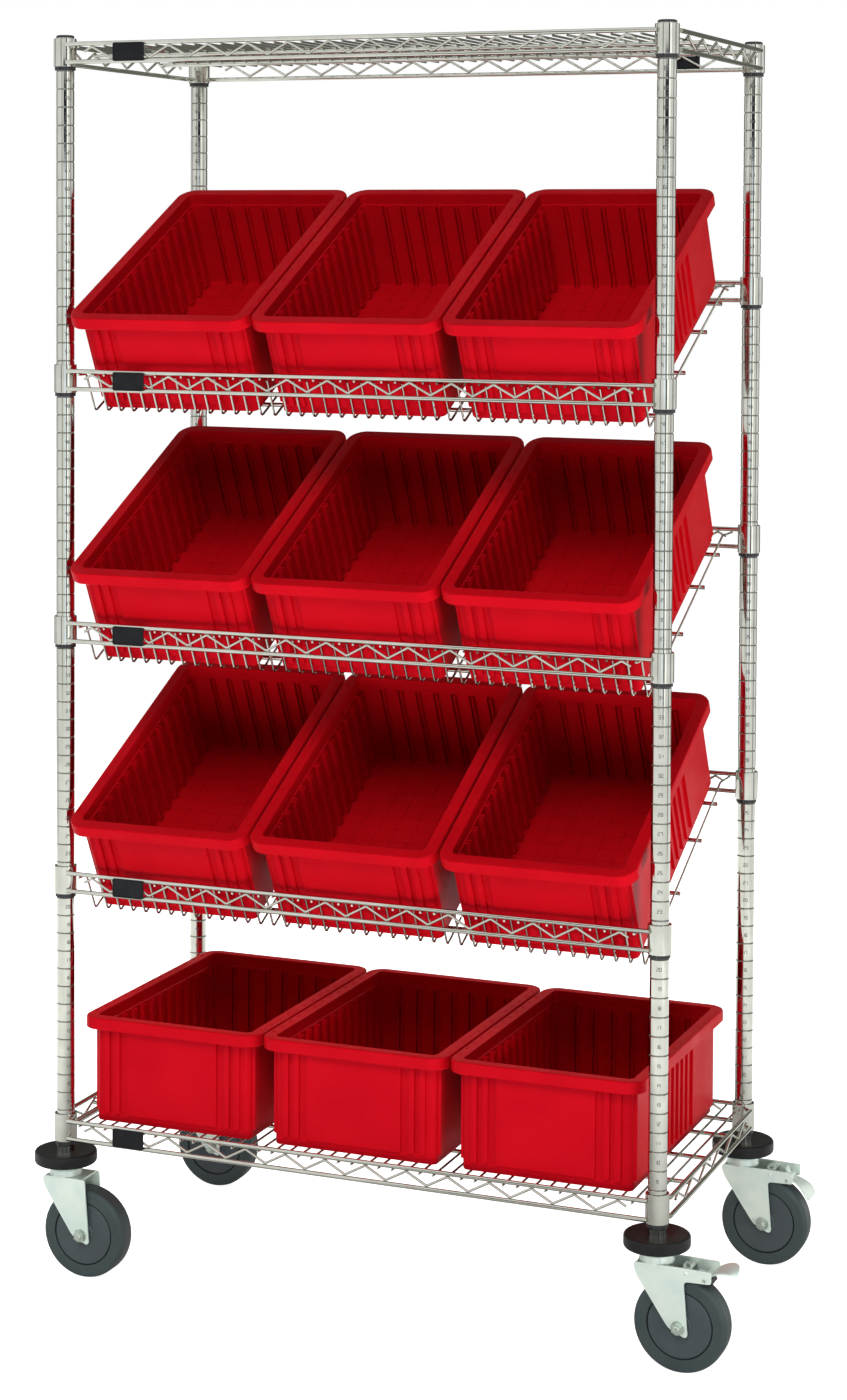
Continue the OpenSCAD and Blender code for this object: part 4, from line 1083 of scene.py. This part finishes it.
world = bpy.data.worlds.new("studio")
world.use_nodes = True
tree = world.node_tree
background = tree.nodes["Background"]
background.inputs["Color"].default_value = WHITE
path = tree.nodes.new("ShaderNodeLightPath")
seen = tree.nodes.new("ShaderNodeMath")
seen.operation = "MAXIMUM"
tree.links.new(path.outputs["Is Camera Ray"], seen.inputs[0])
tree.links.new(path.outputs["Is Glossy Ray"], seen.inputs[1])
level = tree.nodes.new("ShaderNodeMapRange")
level.inputs["To Min"].default_value = FILL
tree.links.new(seen.outputs["Value"], level.inputs["Value"])
tree.links.new(level.outputs["Result"], background.inputs["Strength"])
bpy.context.scene.world = world

pale = bpy.data.materials.new("pale_floor")
pale.use_nodes = True
tree = pale.node_tree
shader = tree.nodes["Principled BSDF"]
shader.inputs["Roughness"].default_value = FLOOR_ROUGH
shader.inputs["Specular IOR Level"].default_value = FLOOR_GLOSS
shader.inputs["Emission Color"].default_value = WHITE
place = tree.nodes.new("ShaderNodeTexCoord")
reach = tree.nodes.new("ShaderNodeVectorMath")
reach.operation = "LENGTH"
tree.links.new(place.outputs["Object"], reach.inputs[0])
ramp = tree.nodes.new("ShaderNodeMapRange")
for socket, value in (("From Min", FLOOR_NEAR), ("From Max", FLOOR_FAR), ("To Min", NEAR_FLOOR_SHADE_LIFT),
                      ("To Max", FLOOR_LIFT)):
    ramp.inputs[socket].default_value = value
tree.links.new(reach.outputs["Value"], ramp.inputs["Value"])
# For glossy rays the floor turns grey and its glow drops near the middle: painted shade in the reflections.
path = tree.nodes.new("ShaderNodeLightPath")
shade = tree.nodes.new("ShaderNodeMix")
shade.data_type = "RGBA"
shade.inputs["A"].default_value = FLOOR_WHITE
shade.inputs["B"].default_value = FLOOR_IN_METAL_SHADE
tree.links.new(path.outputs["Is Glossy Ray"], shade.inputs["Factor"])
tree.links.new(shade.outputs["Result"], shader.inputs["Base Color"])
in_metal = tree.nodes.new("ShaderNodeMath")
in_metal.operation = "MULTIPLY"
tree.links.new(path.outputs["Is Glossy Ray"], in_metal.inputs[0])
tree.links.new(ramp.outputs["Result"], in_metal.inputs[1])
lift = tree.nodes.new("ShaderNodeMath")
lift.operation = "MULTIPLY_ADD"
lift.inputs[1].default_value = FLOOR_LIFT
tree.links.new(path.outputs["Is Camera Ray"], lift.inputs[0])
tree.links.new(in_metal.outputs["Value"], lift.inputs[2])
tree.links.new(lift.outputs["Value"], shader.inputs["Emission Strength"])
bm = bmesh.new()
bmesh.ops.create_circle(bm, cap_ends=True, segments=64, radius=FLOOR_SIZE / 2)
floor = placed("floor", bm, pale)

for name, at, toward, size, power in LAMPS:
    lamp = bpy.data.lights.new(name, "AREA")
    lamp.shape = "RECTANGLE"
    lamp.size, lamp.size_y = size
    lamp.energy = power
    lamp_object = bpy.data.objects.new(name, lamp)
    lamp_object.location = at
    lamp_object.rotation_euler = toward.to_track_quat("-Z", "Y").to_euler()
    lamp_object.visible_glossy = False
    lamp_object.visible_camera = False
    bpy.context.scene.collection.objects.link(lamp_object)


def screen(name, matrix, tone):
    """A flat card that only metal sees."""
    card = bpy.data.materials.new(name)
    card.use_nodes = True
    shader = card.node_tree.nodes["Principled BSDF"]
    shader.inputs["Base Color"].default_value = (0, 0, 0, 1)
    shader.inputs["Specular IOR Level"].default_value = 0
    shader.inputs["Emission Color"].default_value = (*tone, 1)
    shader.inputs["Emission Strength"].default_value = 1
    bm = bmesh.new()
    bmesh.ops.create_grid(bm, x_segments=1, y_segments=1, size=0.5, matrix=matrix)
    made = placed(name, bm, card)
    made.visible_camera = False
    made.visible_diffuse = False
    made.visible_shadow = False
    made.visible_transmission = False


for k, (azimuth, far, wide, low, high, tone) in enumerate(SCREENS):
    turn = math.radians(azimuth)
    at = Vector((math.sin(turn) * far, -math.cos(turn) * far, (low + high) / 2))
    stand = Matrix.Translation(at) @ Matrix.Rotation(turn, 4, "Z") @ Matrix.Rotation(math.pi / 2, 4, "X")
    screen("screen_%d" % k, stand @ Matrix.Diagonal((wide, high - low, 1, 1)), tone)
screen("ceiling", Matrix.Translation(CEILING_AT) @ Matrix.Diagonal((*CEILING_SIZE, 1, 1)), CEILING)

lens = bpy.data.cameras.new("camera")
lens.sensor_width = SENSOR
lens.lens = FOCAL_PX * SENSOR / LONG_SIDE_PX
lens.shift_y = SHIFT_Y
camera = bpy.data.objects.new("camera", lens)
aim = Matrix.Rotation(CAMERA_YAW, 3, "Z") @ Matrix.Rotation(math.pi / 2 - CAMERA_PITCH, 3, "X")
camera.rotation_euler = (aim @ Matrix.Rotation(CAMERA_ROLL, 3, "Z")).to_euler()
camera.location = CAMERA_AT
bpy.context.scene.collection.objects.link(camera)
bpy.context.scene.camera = camera
bpy.context.scene.view_settings.view_transform = "Standard"
